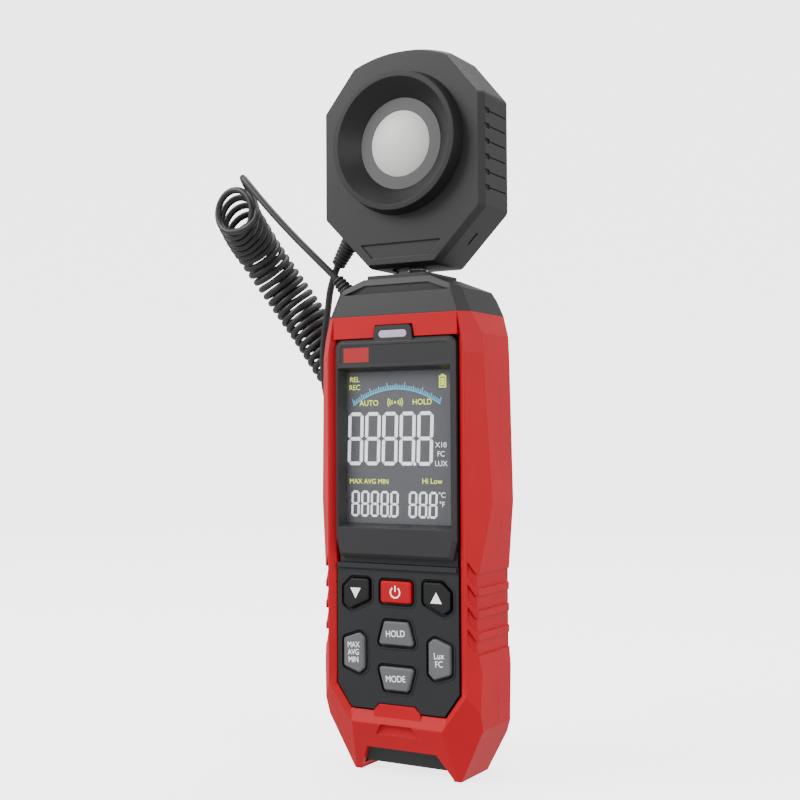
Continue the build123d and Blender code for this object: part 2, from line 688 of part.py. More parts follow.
with BuildPart() as display_bezel:
    with BuildSketch(facing(-FRONT_WALL_INNER_Y)) as outline:
        with BuildLine():
            right_side = [
                (PANEL_HALF - 1.6, BEZEL_LOW_Z),
                (PANEL_HALF - 1.0, BEZEL_LOW_Z + 2.4),
                (PANEL_HALF, BEZEL_CORNER_Z),
                (PANEL_HALF, BEZEL_TOP_Z),
            ]
            Polyline(*mirrored(right_side), close=True)
        make_face()
        fillet(outline.vertices().group_by(Axis.Y)[-1], BEZEL_CORNER)
    extrude(amount=FACE_Y - FRONT_WALL_INNER_Y)
    chamfer(display_bezel.faces().sort_by(Axis.Y)[0].outer_wire().edges(), BEZEL_EDGE)
    bump = mirrored(
        [(BUMP_BASE_HALF, BEZEL_TOP_Z - BEZEL_EDGE - 0.6), (BUMP_TOP_HALF, CASE_TOP - BUMP_TOP_BELOW)]
    )
    add(prism(bump, -FACE_Y + FIT, -FRONT_WALL_INNER_Y, BUMP_CORNER))
    for y, grow in ((-FACE_Y - 0.01, RECESS_FLARE), (-SCREEN_Y, 0.0)):
        with BuildSketch(facing(y)):
            with Locations((0, SCREEN_MID_Z)):
                Rectangle(2 * (SCREEN_HALF + grow), SCREEN_HEIGHT + 2 * grow)
    loft(mode=Mode.SUBTRACT)
    add(screen_slab(WINDOW_MARGIN + FIT, -SCREEN_Y, 0), mode=Mode.SUBTRACT)
    step = slab(PANEL_HALF - 0.6, KEYPAD_TOP_Z + FIT, BEZEL_LOW_Z + 3, -STEP_Y, -FRONT_WALL_INNER_Y)
    add(step)
    add(prism(name_plate, -FACE_Y - 1, -FACE_Y + PLATE_DEPTH, PLATE_CORNER), mode=Mode.SUBTRACT)
    flange_half = OPENING_HALF + PANEL_FLANGE
    flange_back = -FRONT_WALL_INNER_Y + PANEL_FLANGE_THICKNESS
    flange_top = BEZEL_TOP_Z + PANEL_FLANGE
    add(slab(flange_half, BEZEL_LOW_Z + 1, flange_top, -FRONT_WALL_INNER_Y, flange_back))
    add(screen_slab(LCD_MARGIN + GAP, -FRONT_WALL_INNER_Y, 0), mode=Mode.SUBTRACT)
    for x, z in case_screw_places:
        add(disc(x, z, SHOULDER_RADIUS, -FRONT_WALL_INNER_Y, -PCB_FRONT_Y))
        add(disc(x, z, BOSS_RADIUS, -PCB_FRONT_Y, PARTING_Y))
    for x, z in case_screw_places:
        add(
            disc(x, z, SCREW_RADIUS + SCREW_HOLE_GAP, SCREW_TIP_Y - 1, PARTING_Y + 1),
            mode=Mode.SUBTRACT,
        )
    add(pill(FIT / 2, -FACE_Y - 1, 0), mode=Mode.SUBTRACT)
save(display_bezel.part, "display_bezel")

with BuildPart() as label_plate:
    add(prism(name_plate, -FACE_Y + FIT, -FACE_Y + PLATE_DEPTH, PLATE_CORNER))
save(label_plate.part, "label_plate")

led_front_y = -PCB_FRONT_Y - LED_DEPTH
save(pill(0, -FACE_Y + FIT / 2, led_front_y - GAP), "indicator_lens")
led_low = PILL_Z - LED_HEIGHT / 2
save(slab(LED_HALF, led_low, led_low + LED_HEIGHT, led_front_y, -PCB_FRONT_Y), "indicator_led")
save(screen_slab(WINDOW_MARGIN, -SCREEN_Y, -SCREEN_Y + WINDOW_THICKNESS), "lcd_window")
LCD_BACK_Y = -SCREEN_Y + WINDOW_THICKNESS + LCD_THICKNESS
save(screen_slab(LCD_MARGIN, -SCREEN_Y + WINDOW_THICKNESS, LCD_BACK_Y), "lcd_panel")

with BuildPart() as lcd_connectors:
    for z in (SCREEN_LOW_Z + 1.5, SCREEN_TOP_Z - 1.5):
        add(slab(SCREEN_HALF - 1.5, z - 1.0, z + 1.0, LCD_BACK_Y, -PCB_FRONT_Y))
save(lcd_connectors.part, "lcd_connectors")


# ---------------------------------------------------------------- keys
corner_key = [
    (TOP_KEY_INNER, 58.8),
    (TOP_KEY_INNER, 65.6),
    (KEY_OUTER - 3.2, 65.6),
    (KEY_OUTER, 62.7),
    (KEY_OUTER, 57.0),
    (KEY_OUTER - 2.4, 55.4),
]
tall_key = [
    (SIDE_KEY_INNER, 35.8),
    (SIDE_KEY_INNER, 45.9),
    (SIDE_KEY_INNER + 2.0, 47.4),
    (KEY_OUTER, 45.3),
    (KEY_OUTER, 36.0),
    (SIDE_KEY_INNER + 2.0, 34.0),
]
KEYS = {
    "button_down": mirror_x(corner_key),
    "button_power": mirrored([(POWER_HALF, 58.1), (POWER_HALF, 65.3)]),
    "button_up": corner_key,
    "button_hold": mirrored([(TRAPEZOID_WIDE, 44.2), (TRAPEZOID_NARROW, 51.9)]),
    "button_range": mirror_x(tall_key),
    "button_unit": tall_key,
    "button_mode": mirrored([(TRAPEZOID_NARROW, 29.2), (TRAPEZOID_WIDE, 36.8)]),
}


def key_shape(points, grow, front_y, back_y):
    """Round-cornered outline of a key, grown on all sides, as a block."""
    with BuildPart() as body:
        with BuildSketch(facing(back_y)) as outline:
            with BuildLine():
                Polyline(*points, close=True)
            make_face()
            fillet(outline.vertices(), KEY_CORNER)
            if grow > 0:
                offset(amount=grow)
        extrude(amount=back_y - front_y)
    return body.part


def key_centre(points):
    """Middle of a key's outline."""
    xs = [x for x, z in points]
    zs = [z for x, z in points]
    return (max(xs) + min(xs)) / 2, (max(zs) + min(zs)) / 2


with BuildPart() as keypad_panel:
    panel = mirrored(
        [
            (RIM_HALF, KEYPAD_LOW_Z),
            (PANEL_HALF, RIDGE_CORNER_Z + PANEL_GAP),
            (PANEL_HALF, KEYPAD_TOP_Z),
        ]
    )
    notch = mirrored(
        [
            (TAB_HALF + GAP, KEYPAD_LOW_Z - 1),
            (TAB_HALF + GAP, KEYPAD_LOW_Z),
            (TAB_TOP_HALF + GAP, TAB_TOP_Z + GAP),
        ]
    )
    add(prism(panel, -KEYPAD_Y, -FRONT_WALL_INNER_Y))
    add(prism(notch, -FACE_Y, 0), mode=Mode.SUBTRACT)
    add(slab(PANEL_HALF - 0.4, KEYPAD_TOP_Z - LIP_HEIGHT, KEYPAD_TOP_Z, -LIP_Y, -KEYPAD_Y))
    for side in (-1, 1):
        rail_inner = PANEL_HALF - RAIL_OVERLAP
        rail_outer = OPENING_HALF + PANEL_FLANGE
        rail_half = (rail_outer - rail_inner) / 2
        rail_low = RIDGE_CORNER_Z + 3
        rail_back = -FRONT_WALL_INNER_Y + PANEL_FLANGE_THICKNESS
        rail_x = side * (rail_inner + rail_half)
        add(slab(rail_half, rail_low, KEYPAD_TOP_Z - 1, -FRONT_WALL_INNER_Y, rail_back, rail_x))
    for points in KEYS.values():
        add(key_shape(points, RECESS_MARGIN + RIM_WIDTH, -KEYPAD_Y - RIM_HEIGHT, -KEYPAD_Y))
    for points in KEYS.values():
        add(key_shape(points, RECESS_MARGIN, -FACE_Y, -RECESS_Y), mode=Mode.SUBTRACT)
        add(key_shape(points, GAP, -FACE_Y, 0), mode=Mode.SUBTRACT)
save(keypad_panel.part, "keypad_panel")

for name, points in KEYS.items():
    centre_x, centre_z = key_centre(points)
    flange_back_y = -KEY_FLANGE_Y + KEY_FLANGE_THICKNESS
    with BuildPart() as key:
        add(key_shape(points, 0, -KEY_FACE_Y, -KEY_FLANGE_Y))
        chamfer(key.faces().sort_by(Axis.Y)[0].edges(), KEY_BEVEL)
        add(key_shape(points, KEY_FLANGE, -KEY_FLANGE_Y, flange_back_y))
        add(disc(centre_x, centre_z, KEY_STEM_RADIUS, flange_back_y, -STEM_END_Y))
    save(key.part, name)

with BuildPart() as dome_switches:
    for points in KEYS.values():
        centre_x, centre_z = key_centre(points)
        add(disc(centre_x, centre_z, SWITCH_RADIUS, -PCB_FRONT_Y - SWITCH_HEIGHT, -PCB_FRONT_Y))
save(dome_switches.part, "dome_switches")


# ---------------------------------------------------------------- boards and battery
with BuildPart() as main_pcb:
    add(slab(PCB_HALF, PCB_LOW_Z, CASE_TOP - PCB_TOP_BELOW, -PCB_FRONT_Y, PCB_REAR_Y))
    for x, z in case_screw_places:
        add(disc(x, z, BOSS_RADIUS + FIT, -FACE_Y, 0), mode=Mode.SUBTRACT)
save(main_pcb.part, "main_pcb")

with BuildPart() as board_components:
    for x, z, half, height in CHIPS:
        add(slab(half, z - half, z + half, PCB_REAR_Y, PCB_REAR_Y + height, x))
save(board_components.part, "board_components")

buzzer_x, buzzer_z = BUZZER_PLACE
save(disc(buzzer_x, buzzer_z, BUZZER_RADIUS, PCB_REAR_Y, PCB_REAR_Y + BUZZER_HEIGHT), "buzzer")

with BuildPart() as battery_tray:
    add(prism(tray_outer, TRAY_FRONT_Y, REAR_WALL_INNER_Y - 2 * FIT))
    add(prism(tray_inner, TRAY_FRONT_Y + TRAY_WALL, FACE_Y), mode=Mode.SUBTRACT)
    lug_low = TRAY_LOW_Z - DOOR_TAB + 2
    add(slab(LUG_HALF, lug_low, TRAY_LOW_Z, TRAY_FRONT_Y + 4, REAR_WALL_INNER_Y - 2 * FIT))
    lug_hole = disc(0, DOOR_SCREW_Z, SCREW_RADIUS + SCREW_HOLE_GAP, 0, FACE_Y)
    add(lug_hole, mode=Mode.SUBTRACT)
save(battery_tray.part, "battery_tray")

cell_places = [(index - (CELL_COUNT - 1) / 2) * CELL_PITCH for index in range(CELL_COUNT)]
for index, x in enumerate(cell_places):
    with BuildPart(Plane((x, CELL_Y, CELL_LOW_Z))) as cell:
        upright = (Align.CENTER, Align.CENTER, Align.MIN)
        Cylinder(CELL_RADIUS, CELL_LENGTH - NUB_HEIGHT, align=upright)
        Cylinder(NUB_RADIUS, CELL_LENGTH, align=upright)
    save(cell.part, f"battery_cell_{index + 1}")

contact_half = CELL_RADIUS - 0.6
contact_bottom = TRAY_LOW_Z + TRAY_WALL
contact_top = TRAY_TOP_Z - TRAY_WALL
with BuildPart() as battery_contacts:
    for x in cell_places:
        front_y = CELL_Y - contact_half
        back_y = CELL_Y + contact_half
        add(slab(contact_half, contact_bottom, contact_bottom + CONTACT_THICKNESS, front_y, back_y, x))
        add(slab(contact_half, contact_top - CONTACT_THICKNESS, contact_top, front_y, back_y, x))
save(battery_contacts.part, "battery_contacts")

with BuildPart() as battery_springs:
    for x in cell_places:
        turn_count = 3
        turn_pitch = (SPRING_LENGTH - 2 * SPRING_WIRE) / (turn_count - 1)
        for turn in range(turn_count):
            turn_z = contact_bottom + CONTACT_THICKNESS + SPRING_WIRE + turn * turn_pitch
            with Locations((x, CELL_Y, turn_z)):
                Torus(SPRING_RADIUS, SPRING_WIRE)
save(battery_springs.part, "battery_springs")

door_outline = mirrored([(DOOR_HALF, DOOR_LOW_Z), (DOOR_HALF, DOOR_TOP_Z)])
with BuildPart() as battery_door:
    add(prism(door_outline, FACE_Y - DOOR_THICKNESS, FACE_Y, DOOR_CORNER))
    for index in range(DOOR_GROOVES):
        groove_z = DOOR_TOP_Z - 6 - index * DOOR_GROOVE_PITCH
        add(
            slab(DOOR_GROOVE_HALF, groove_z - 0.5, groove_z + 0.5, FACE_Y - 0.6, FACE_Y + 1),
            mode=Mode.SUBTRACT,
        )
    add(disc(0, DOOR_SCREW_Z, SCREW_RADIUS + SCREW_HOLE_GAP, 0, FACE_Y + 1), mode=Mode.SUBTRACT)
    add(
        disc(0, DOOR_SCREW_Z, SCREW_HEAD_RADIUS + FIT, FACE_Y - DOOR_SCREW_HEAD, FACE_Y + 1),
        mode=Mode.SUBTRACT,
    )
save(battery_door.part, "battery_door")


def screw(x, z, seat_y, tip_y, head_height):
    """Cross-head screw driven in from the back, with its head's underside at seat_y."""
    with BuildPart() as body:
        add(disc(x, z, SCREW_HEAD_RADIUS, seat_y, seat_y + head_height))
        chamfer(body.faces().sort_by(Axis.Y)[-1].edges(), 0.3)
        add(disc(x, z, SCREW_RADIUS, tip_y, seat_y))
        top_y = seat_y + head_height
        add(slab(1.5, z - 0.3, z + 0.3, top_y - 0.7, top_y + 1, x), mode=Mode.SUBTRACT)
        add(slab(0.3, z - 1.5, z + 1.5, top_y - 0.7, top_y + 1, x), mode=Mode.SUBTRACT)
    return body.part


door_screw_seat = FACE_Y - DOOR_SCREW_HEAD
door_screw = screw(
    0, DOOR_SCREW_Z, door_screw_seat, door_screw_seat - DOOR_SCREW_LENGTH, DOOR_SCREW_HEAD - FIT
)
save(door_screw, "battery_door_screw")

with BuildPart() as case_screws:
    for x, z in case_screw_places:
        add(screw(x, z, SCREW_SEAT_Y, SCREW_TIP_Y, SCREW_HEAD_HEIGHT))
save(case_screws.part, "case_screws")


# ---------------------------------------------------------------- cap
def cap_block(inset, extra_low=0.0):
    """Solid of the cap's outer shape, drawn in by inset and run on below the seam by extra_low."""
    shoulder = (HALF - CAP_SHOULDER_INSET, CASE_TOP + CAP_SHOULDER_RISE)
    crest = (HALF - CAP_CREST_INSET, CASE_TOP + CAP_CREST_RISE)
    neck_half = HALF - NECK_INSET
    neck_slope = (CAP_SHOULDER_INSET - NECK_INSET) / CAP_SHOULDER_RISE
    neck = (neck_half + neck_slope * extra_low, CASE_TOP - extra_low)
    crest_y = -RIDGE_Y + CAP_LEAN * CAP_SHOULDER_RISE
    facets = [
        Plane((0, -RIDGE_Y, CASE_TOP), z_dir=(0, -1, CAP_LEAN)),
        Plane((0, crest_y, shoulder[1]), z_dir=(0, -1, CAP_CREST_LEAN)),
        Plane((0, FACE_Y, CASE_TOP), z_dir=(0, 1, CAP_REAR_LEAN)),
    ]
    for side in (-1, 1):
        front_edge = (side * (REAR_EDGE_HALF - 0.6), -RIDGE_Y, CASE_TOP)
        rear_edge = (side * REAR_EDGE_HALF, FACE_Y, CASE_TOP)
        facets.append(Plane(front_edge, z_dir=(side, -1, CAP_EDGE_LEAN)))
        facets.append(Plane(rear_edge, z_dir=(side, 1, CAP_EDGE_LEAN)))
    with BuildPart() as block:
        with BuildSketch(facing(FACE_Y - inset)):
            with BuildLine():
                Polyline(*mirrored([neck, shoulder, crest]), close=True)
            make_face()
            if inset > 0:
                offset(amount=-inset, kind=Kind.INTERSECTION)
        extrude(amount=FACE_Y + RIDGE_Y + 3 - inset)
        for facet in facets:
            split(bisect_by=facet.offset(-inset), keep=Keep.BOTTOM)
    return block.part


def cap_cavity():
    """Space inside the cap, above the flange that joins its tongue."""
    with BuildPart() as cavity:
        add(cap_block(WALL, 6.0))
        split(bisect_by=Plane.XY.offset(CASE_TOP + TONGUE_ROOT), keep=Keep.TOP)
    return cavity.part


def cap_shell():
    """Both halves of the cap in one, with the tongue that plugs into the case."""
    tongue_front = -FRONT_WALL_INNER_Y + FIT
    tongue_bore = WALL + FIT + TONGUE_WALL
    groove = mirrored(
        [
            (HALF - CAP_GROOVE_LOW_INSET, CASE_TOP + CAP_GROOVE_LOW_RISE),
            (HALF - CAP_GROOVE_TOP_INSET, CASE_TOP + CAP_GROOVE_TOP_RISE),
        ]
    )
    platform_depth = PLATFORM_FRONT_Y + PLATFORM_REAR_Y
    platform_y = (PLATFORM_REAR_Y - PLATFORM_FRONT_Y) / 2
    with BuildPart() as platform:
        with Locations((0, platform_y, PLATFORM_Z)):
            Box(
                2 * PLATFORM_HALF,
                platform_depth,
                PLATFORM_RISE - CAP_CREST_RISE + 1,
                align=(Align.CENTER, Align.CENTER, Align.MAX),
            )
        fillet(platform.edges().filter_by(Axis.Z), PLATFORM_CORNER)
    with BuildPart() as shell:
        add(cap_block(0))
        add(platform.part)
        add(cap_cavity(), mode=Mode.SUBTRACT)
        add(case_band(WALL + FIT, CASE_TOP - TONGUE_DEPTH, CASE_TOP, tongue_front))
        add(
            case_band(
                tongue_bore,
                CASE_TOP - TONGUE_DEPTH - 1,
                CASE_TOP + TONGUE_ROOT,
                tongue_front + TONGUE_WALL,
            ),
            mode=Mode.SUBTRACT,
        )
        add(prism(groove, -RIDGE_Y - 1, -CAP_GROOVE_Y), mode=Mode.SUBTRACT)
        socket_hole = SOCKET_RADIUS + RUNNING_FIT
        add(post(socket_hole, CASE_TOP + TONGUE_ROOT, PLATFORM_Z + 1), mode=Mode.SUBTRACT)
        with Locations((STOP_PIN_X, SWIVEL_Y, PLATFORM_Z)):
            Hole(STOP_PIN_RADIUS, STOP_PIN_ROOT)
    return shell.part


CAP = cap_shell()

with BuildPart() as top_cap_front:
    add(CAP)
    split(bisect_by=facing(PARTING_Y), keep=Keep.TOP)
save(top_cap_front.part, "top_cap_front")

with BuildPart() as top_cap_rear:
    add(CAP)
    split(bisect_by=facing(PARTING_Y), keep=Keep.BOTTOM)
save(top_cap_rear.part, "top_cap_rear")


# ---------------------------------------------------------------- swivel dock
socket_flange_top = CASE_TOP + CAP_CREST_RISE - WALL - FIT
with BuildPart() as dock_socket:
    add(post(SOCKET_RADIUS, POST_BOTTOM_Z - FIT - SOCKET_FLOOR, PLATFORM_Z))
    add(
        post(
            SOCKET_FLANGE_RADIUS,
            socket_flange_top - SOCKET_FLANGE_THICKNESS,
            socket_flange_top,
        )
    )
    post_bore = POST_RADIUS + RUNNING_FIT
    add(post(post_bore, POST_BOTTOM_Z - FIT, PLATFORM_Z + 1), mode=Mode.SUBTRACT)
save(dock_socket.part, "dock_socket")

shoulder_z = HEAD_BOTTOM_Z - WASHER_THICKNESS - RUNNING_FIT
with BuildPart() as dock_plug:
    add(post(POST_RADIUS, POST_BOTTOM_Z, shoulder_z))
    chamfer(dock_plug.edges().sort_by(Axis.Z)[0], POST_BEVEL)
    add(post(SWIVEL_SHAFT_RADIUS, shoulder_z, SHAFT_TOP_Z))
    groove_radius = SWIVEL_SHAFT_RADIUS - CLIP_GROOVE_DEPTH
    with Locations((0, SWIVEL_Y, CLIP_Z + CLIP_THICKNESS / 2)):
        Cylinder(SWIVEL_SHAFT_RADIUS + 1, CLIP_THICKNESS + RUNNING_FIT, mode=Mode.SUBTRACT)
        Cylinder(groove_radius, CLIP_THICKNESS + RUNNING_FIT)
save(dock_plug.part, "dock_plug")

shaft_bore = SWIVEL_SHAFT_RADIUS + RUNNING_FIT
with BuildPart() as swivel_washer:
    add(post(WASHER_RADIUS, shoulder_z, shoulder_z + WASHER_THICKNESS))
    add(post(shaft_bore, shoulder_z - 1, HEAD_BOTTOM_Z + 1), mode=Mode.SUBTRACT)
save(swivel_washer.part, "swivel_washer")

with BuildPart() as retaining_clip:
    add(post(CLIP_RADIUS, CLIP_Z, CLIP_Z + CLIP_THICKNESS))
    clip_bore = groove_radius + RUNNING_FIT
    add(post(clip_bore, CLIP_Z - 1, CLIP_Z + CLIP_THICKNESS + 1), mode=Mode.SUBTRACT)
    with Locations((0, SWIVEL_Y + CLIP_RADIUS, CLIP_Z + CLIP_THICKNESS / 2)):
        Box(clip_bore, 2 * CLIP_RADIUS, 2 * CLIP_THICKNESS, mode=Mode.SUBTRACT)
save(retaining_clip.part, "retaining_clip")

with BuildPart(Plane((STOP_PIN_X, SWIVEL_Y, PLATFORM_Z - STOP_PIN_ROOT))) as swivel_stop:
    pin_length = STOP_PIN_ROOT + HEAD_GAP + STOP_PIN_TIP
    Cylinder(STOP_PIN_RADIUS, pin_length, align=(Align.CENTER, Align.CENTER, Align.MIN))
save(swivel_stop.part, "swivel_stop")


# ---------------------------------------------------------------- sensor head
def head_block(inset):
    """Solid of the head's outer shape, drawn in by inset all round."""
    right_side = [
        (HEAD_BOTTOM_HALF, HEAD_BOTTOM_Z),
        (HEAD_HALF, HEAD_BOTTOM_Z + HEAD_SIDE_LOW),
        (HEAD_HALF, HEAD_BOTTOM_Z + HEAD_SIDE_TOP),
        (HEAD_TOP_HALF, HEAD_BOTTOM_Z + HEAD_TOP_CORNER),
    ]
    left_side = mirror_x(right_side)
    with BuildPart() as block:
        with BuildSketch(facing(HEAD_BACK_Y - inset)) as outline:
            with BuildLine():
                Polyline(*right_side)
                ThreePointArc(right_side[-1], (0, HEAD_BOTTOM_Z + HEAD_HEIGHT), left_side[-1])
                Polyline(*left_side)
                Line(left_side[0], right_side[0])
            make_face()
            if inset > 0:
                offset(amount=-inset, kind=Kind.INTERSECTION)
            else:
                fillet(outline.vertices(), HEAD_CORNER_RADIUS)
        extrude(amount=HEAD_BACK_Y + HEAD_FRONT_Y - 2 * inset)
        front = block.faces().sort_by(Axis.Y)[0]
        chamfer(front.edges(), HEAD_FRONT_BEVEL, HEAD_SIDE_BEVEL, reference=front)
        back = block.faces().sort_by(Axis.Y)[-1]
        chamfer(back.edges(), HEAD_BACK_BEVEL)
    return block.part


def sensor_disc(radius, front_y, back_y):
    """Round piece on the sensor's axis."""
    return disc(0, SENSOR_Z, radius, front_y, back_y)


def rib_cutter():
    """Notches at the front of the head's sides, each with a thin line that runs on to the back."""
    with BuildPart() as cutter:
        for side in (-1, 1):
            for index in range(RIB_COUNT):
                z = HEAD_BOTTOM_Z + RIB_LOW + index * RIB_PITCH
                slot_back = RIB_FRONT_Y + RIB_SLOT_LENGTH
                for height, front_y, back_y in (
                    (RIB_SLOT_HEIGHT, RIB_FRONT_Y, slot_back),
                    (RIB_LINE_HEIGHT, slot_back, slot_back + RIB_LINE_LENGTH),
                ):
                    half = height / 2
                    add(slab(RIB_DEPTH, z - half, z + half, front_y, back_y, side * HEAD_HALF))
    return cutter.part


def stop_groove():
    """Quarter of a ring under the head that the stop pin runs in."""
    with BuildPart() as groove:
        with BuildSketch(Plane((0, SWIVEL_Y, HEAD_BOTTOM_Z - 1))):
            middle = -STOP_PIN_X
            Circle(middle + STOP_PIN_RADIUS + GAP)
            Circle(middle - STOP_PIN_RADIUS - GAP, mode=Mode.SUBTRACT)
            Rectangle(
                2 * middle,
                2 * middle,
                align=(Align.MAX, Align.MAX),
                mode=Mode.INTERSECT,
            )
        extrude(amount=STOP_GROOVE_DEPTH + 1)
        for x, y in ((STOP_PIN_X, 0), (0, STOP_PIN_X)):
            with Locations((x, SWIVEL_Y + y, HEAD_BOTTOM_Z - 1)):
                Cylinder(
                    STOP_PIN_RADIUS + GAP,
                    STOP_GROOVE_DEPTH + 1,
                    align=(Align.CENTER, Align.CENTER, Align.MIN),
                )
    return groove.part


head_screw_places = [
    (side * x, HEAD_BOTTOM_Z + rise)
    for side in (-1, 1)
    for x, rise in (HEAD_SCREW_LOW, HEAD_SCREW_HIGH)
]


def head_shell():
    """Both halves of the head in one, hollow, with its swivel boss and screw bosses."""
    chin = mirrored(
        [
            (CHIN_LOW_HALF, HEAD_BOTTOM_Z + CHIN_LOW),
            (CHIN_TOP_HALF, HEAD_BOTTOM_Z + CHIN_TOP),
        ]
    )
    middle_x = (HEAD_BOTTOM_HALF + HEAD_HALF) / 2
    middle_z = HEAD_BOTTOM_Z + HEAD_SIDE_LOW / 2
    with BuildPart() as shell:
        add(head_block(0))
        add(head_block(HEAD_WALL), mode=Mode.SUBTRACT)
        boss_top = HEAD_BOTTOM_Z + SWIVEL_BOSS_HEIGHT
        add(post(SWIVEL_BOSS_RADIUS, HEAD_BOTTOM_Z + HEAD_WALL / 2, boss_top))
        add(post(shaft_bore, HEAD_BOTTOM_Z - 1, boss_top + 1), mode=Mode.SUBTRACT)
        for x, z in head_screw_places:
            add(disc(x, z, BOSS_RADIUS, -HEAD_FRONT_Y + HEAD_WALL / 2, PARTING_Y))
            add(disc(x, z, BOSS_RADIUS + 1, PARTING_Y, HEAD_BACK_Y - HEAD_WALL / 2))
        for x, z in head_screw_places:
            hole_radius = SCREW_RADIUS + SCREW_HOLE_GAP
            head_hole = SCREW_HEAD_RADIUS + GAP
            add(disc(x, z, hole_radius, -HEAD_FRONT_Y + 2 * HEAD_WALL, HEAD_BACK_Y), mode=Mode.SUBTRACT)
            add(disc(x, z, head_hole, HEAD_SCREW_SEAT_Y, HEAD_BACK_Y + 1), mode=Mode.SUBTRACT)
        add(sensor_disc(HOOD_NECK_RADIUS + FIT, -FACE_Y, 0), mode=Mode.SUBTRACT)
        add(prism(chin, -FACE_Y, -HEAD_FRONT_Y + CHIN_DEPTH), mode=Mode.SUBTRACT)
        add(rib_cutter(), mode=Mode.SUBTRACT)
        add(stop_groove(), mode=Mode.SUBTRACT)
        with Locations(Location((middle_x, PARTING_Y, middle_z), (0, SNAP_TILT, 0))):
            Box(SNAP_LENGTH, SNAP_HEIGHT, 2 * SNAP_DEPTH, mode=Mode.SUBTRACT)
    return shell.part


HEAD = head_shell()

with BuildPart() as head_front_shell:
    add(HEAD)
    split(bisect_by=facing(PARTING_Y), keep=Keep.TOP)
save(head_front_shell.part, "head_front_shell")

with BuildPart() as head_rear_shell:
    add(HEAD)
    split(bisect_by=facing(PARTING_Y), keep=Keep.BOTTOM)
save(head_rear_shell.part, "head_rear_shell")

with BuildPart() as head_screws:
    for x, z in head_screw_places:
        add(screw(x, z, HEAD_SCREW_SEAT_Y, -HEAD_FRONT_Y + 2 * HEAD_WALL + 1, SCREW_HEAD_HEIGHT))
save(head_screws.part, "head_screws")


def turned(points):
    """Ring or cup on the sensor's axis, turned from (radius, y) points."""
    with BuildPart() as body:
        with BuildSketch(Plane.XY.offset(SENSOR_Z)):
            with BuildLine():
                Polyline(*points, close=True)
            make_face()
        revolve(axis=Axis((0, 0, SENSOR_Z), (0, 1, 0)))
    return body.part


hood_profile = [
    (HOOD_BASE_RADIUS, -HEAD_FRONT_Y),
    (HOOD_RADIUS, -HOOD_LIP_Y),
    (HOOD_LIP_RADIUS, -HOOD_LIP_Y),
    (HOOD_FLOOR_RADIUS, -HOOD_FLOOR_Y),
    (HOOD_FLOOR_RADIUS, -HOOD_NECK_Y),
    (HOOD_NECK_RADIUS, -HOOD_NECK_Y),
    (HOOD_NECK_RADIUS, -HEAD_FRONT_Y),
]
save(turned(hood_profile), "sensor_hood")

seat_profile = [
    (DOME_RADIUS + FIT, -HOOD_FLOOR_Y),
    (HOOD_FLOOR_RADIUS - FIT, -HOOD_FLOOR_Y),
    (HOOD_FLOOR_RADIUS - FIT, -HOOD_NECK_Y),
    (DOME_RADIUS + FIT, -HOOD_NECK_Y),
]
save(turned(seat_profile), "dome_seat")

dome_back_y = -HOOD_NECK_Y + DOME_FLANGE_THICKNESS
with BuildPart() as diffuser_dome:
    with BuildSketch(Plane.XY.offset(SENSOR_Z)):
        with BuildLine():
            outer_apex = (0, -HOOD_FLOOR_Y - DOME_RISE)
            inner_apex = (0, outer_apex[1] + DOME_WALL)
            inner_radius = DOME_RADIUS - DOME_WALL
            outer_rim = (DOME_RADIUS, -HOOD_FLOOR_Y)
            inner_rim = (inner_radius, -HOOD_FLOOR_Y + DOME_WALL / 2)
            TangentArc(outer_apex, outer_rim, tangent=(1, 0))
            Polyline(
                outer_rim,
                (DOME_RADIUS, -HOOD_NECK_Y),
                (DOME_FLANGE_RADIUS, -HOOD_NECK_Y),
                (DOME_FLANGE_RADIUS, dome_back_y),
                (inner_radius, dome_back_y),
                inner_rim,
            )
            TangentArc(inner_apex, inner_rim, tangent=(1, 0))
            Line(inner_apex, outer_apex)
        make_face()
    revolve(axis=Axis((0, 0, SENSOR_Z), (0, 1, 0)))
save(diffuser_dome.part, "diffuser_dome")

carrier_back_y = -HOOD_NECK_Y + CARRIER_THICKNESS
filter_front_y = dome_back_y + APERTURE_THICKNESS
filter_back_y = filter_front_y + FILTER_THICKNESS
with BuildPart() as sensor_carrier:
    add(sensor_disc(CARRIER_RADIUS, -HOOD_NECK_Y, carrier_back_y))
    add(sensor_disc(DOME_FLANGE_RADIUS + FIT, -FACE_Y, dome_back_y), mode=Mode.SUBTRACT)
    add(sensor_disc(APERTURE_RADIUS, -FACE_Y, 0), mode=Mode.SUBTRACT)
    add(sensor_disc(FILTER_RADIUS + FIT, filter_front_y, 0), mode=Mode.SUBTRACT)
save(sensor_carrier.part, "sensor_carrier")

save(sensor_disc(FILTER_RADIUS, filter_front_y, filter_back_y), "optical_filter")
save(sensor_disc(PHOTODIODE_RADIUS, filter_back_y + FIT, carrier_back_y), "photodiode")

sensor_board_back = carrier_back_y + SENSOR_PCB_THICKNESS
board_low = SENSOR_Z - SENSOR_PCB_HALF
board_top = SENSOR_Z + SENSOR_PCB_HALF
save(slab(SENSOR_PCB_HALF, board_low, board_top, carrier_back_y, sensor_board_back), "sensor_pcb")


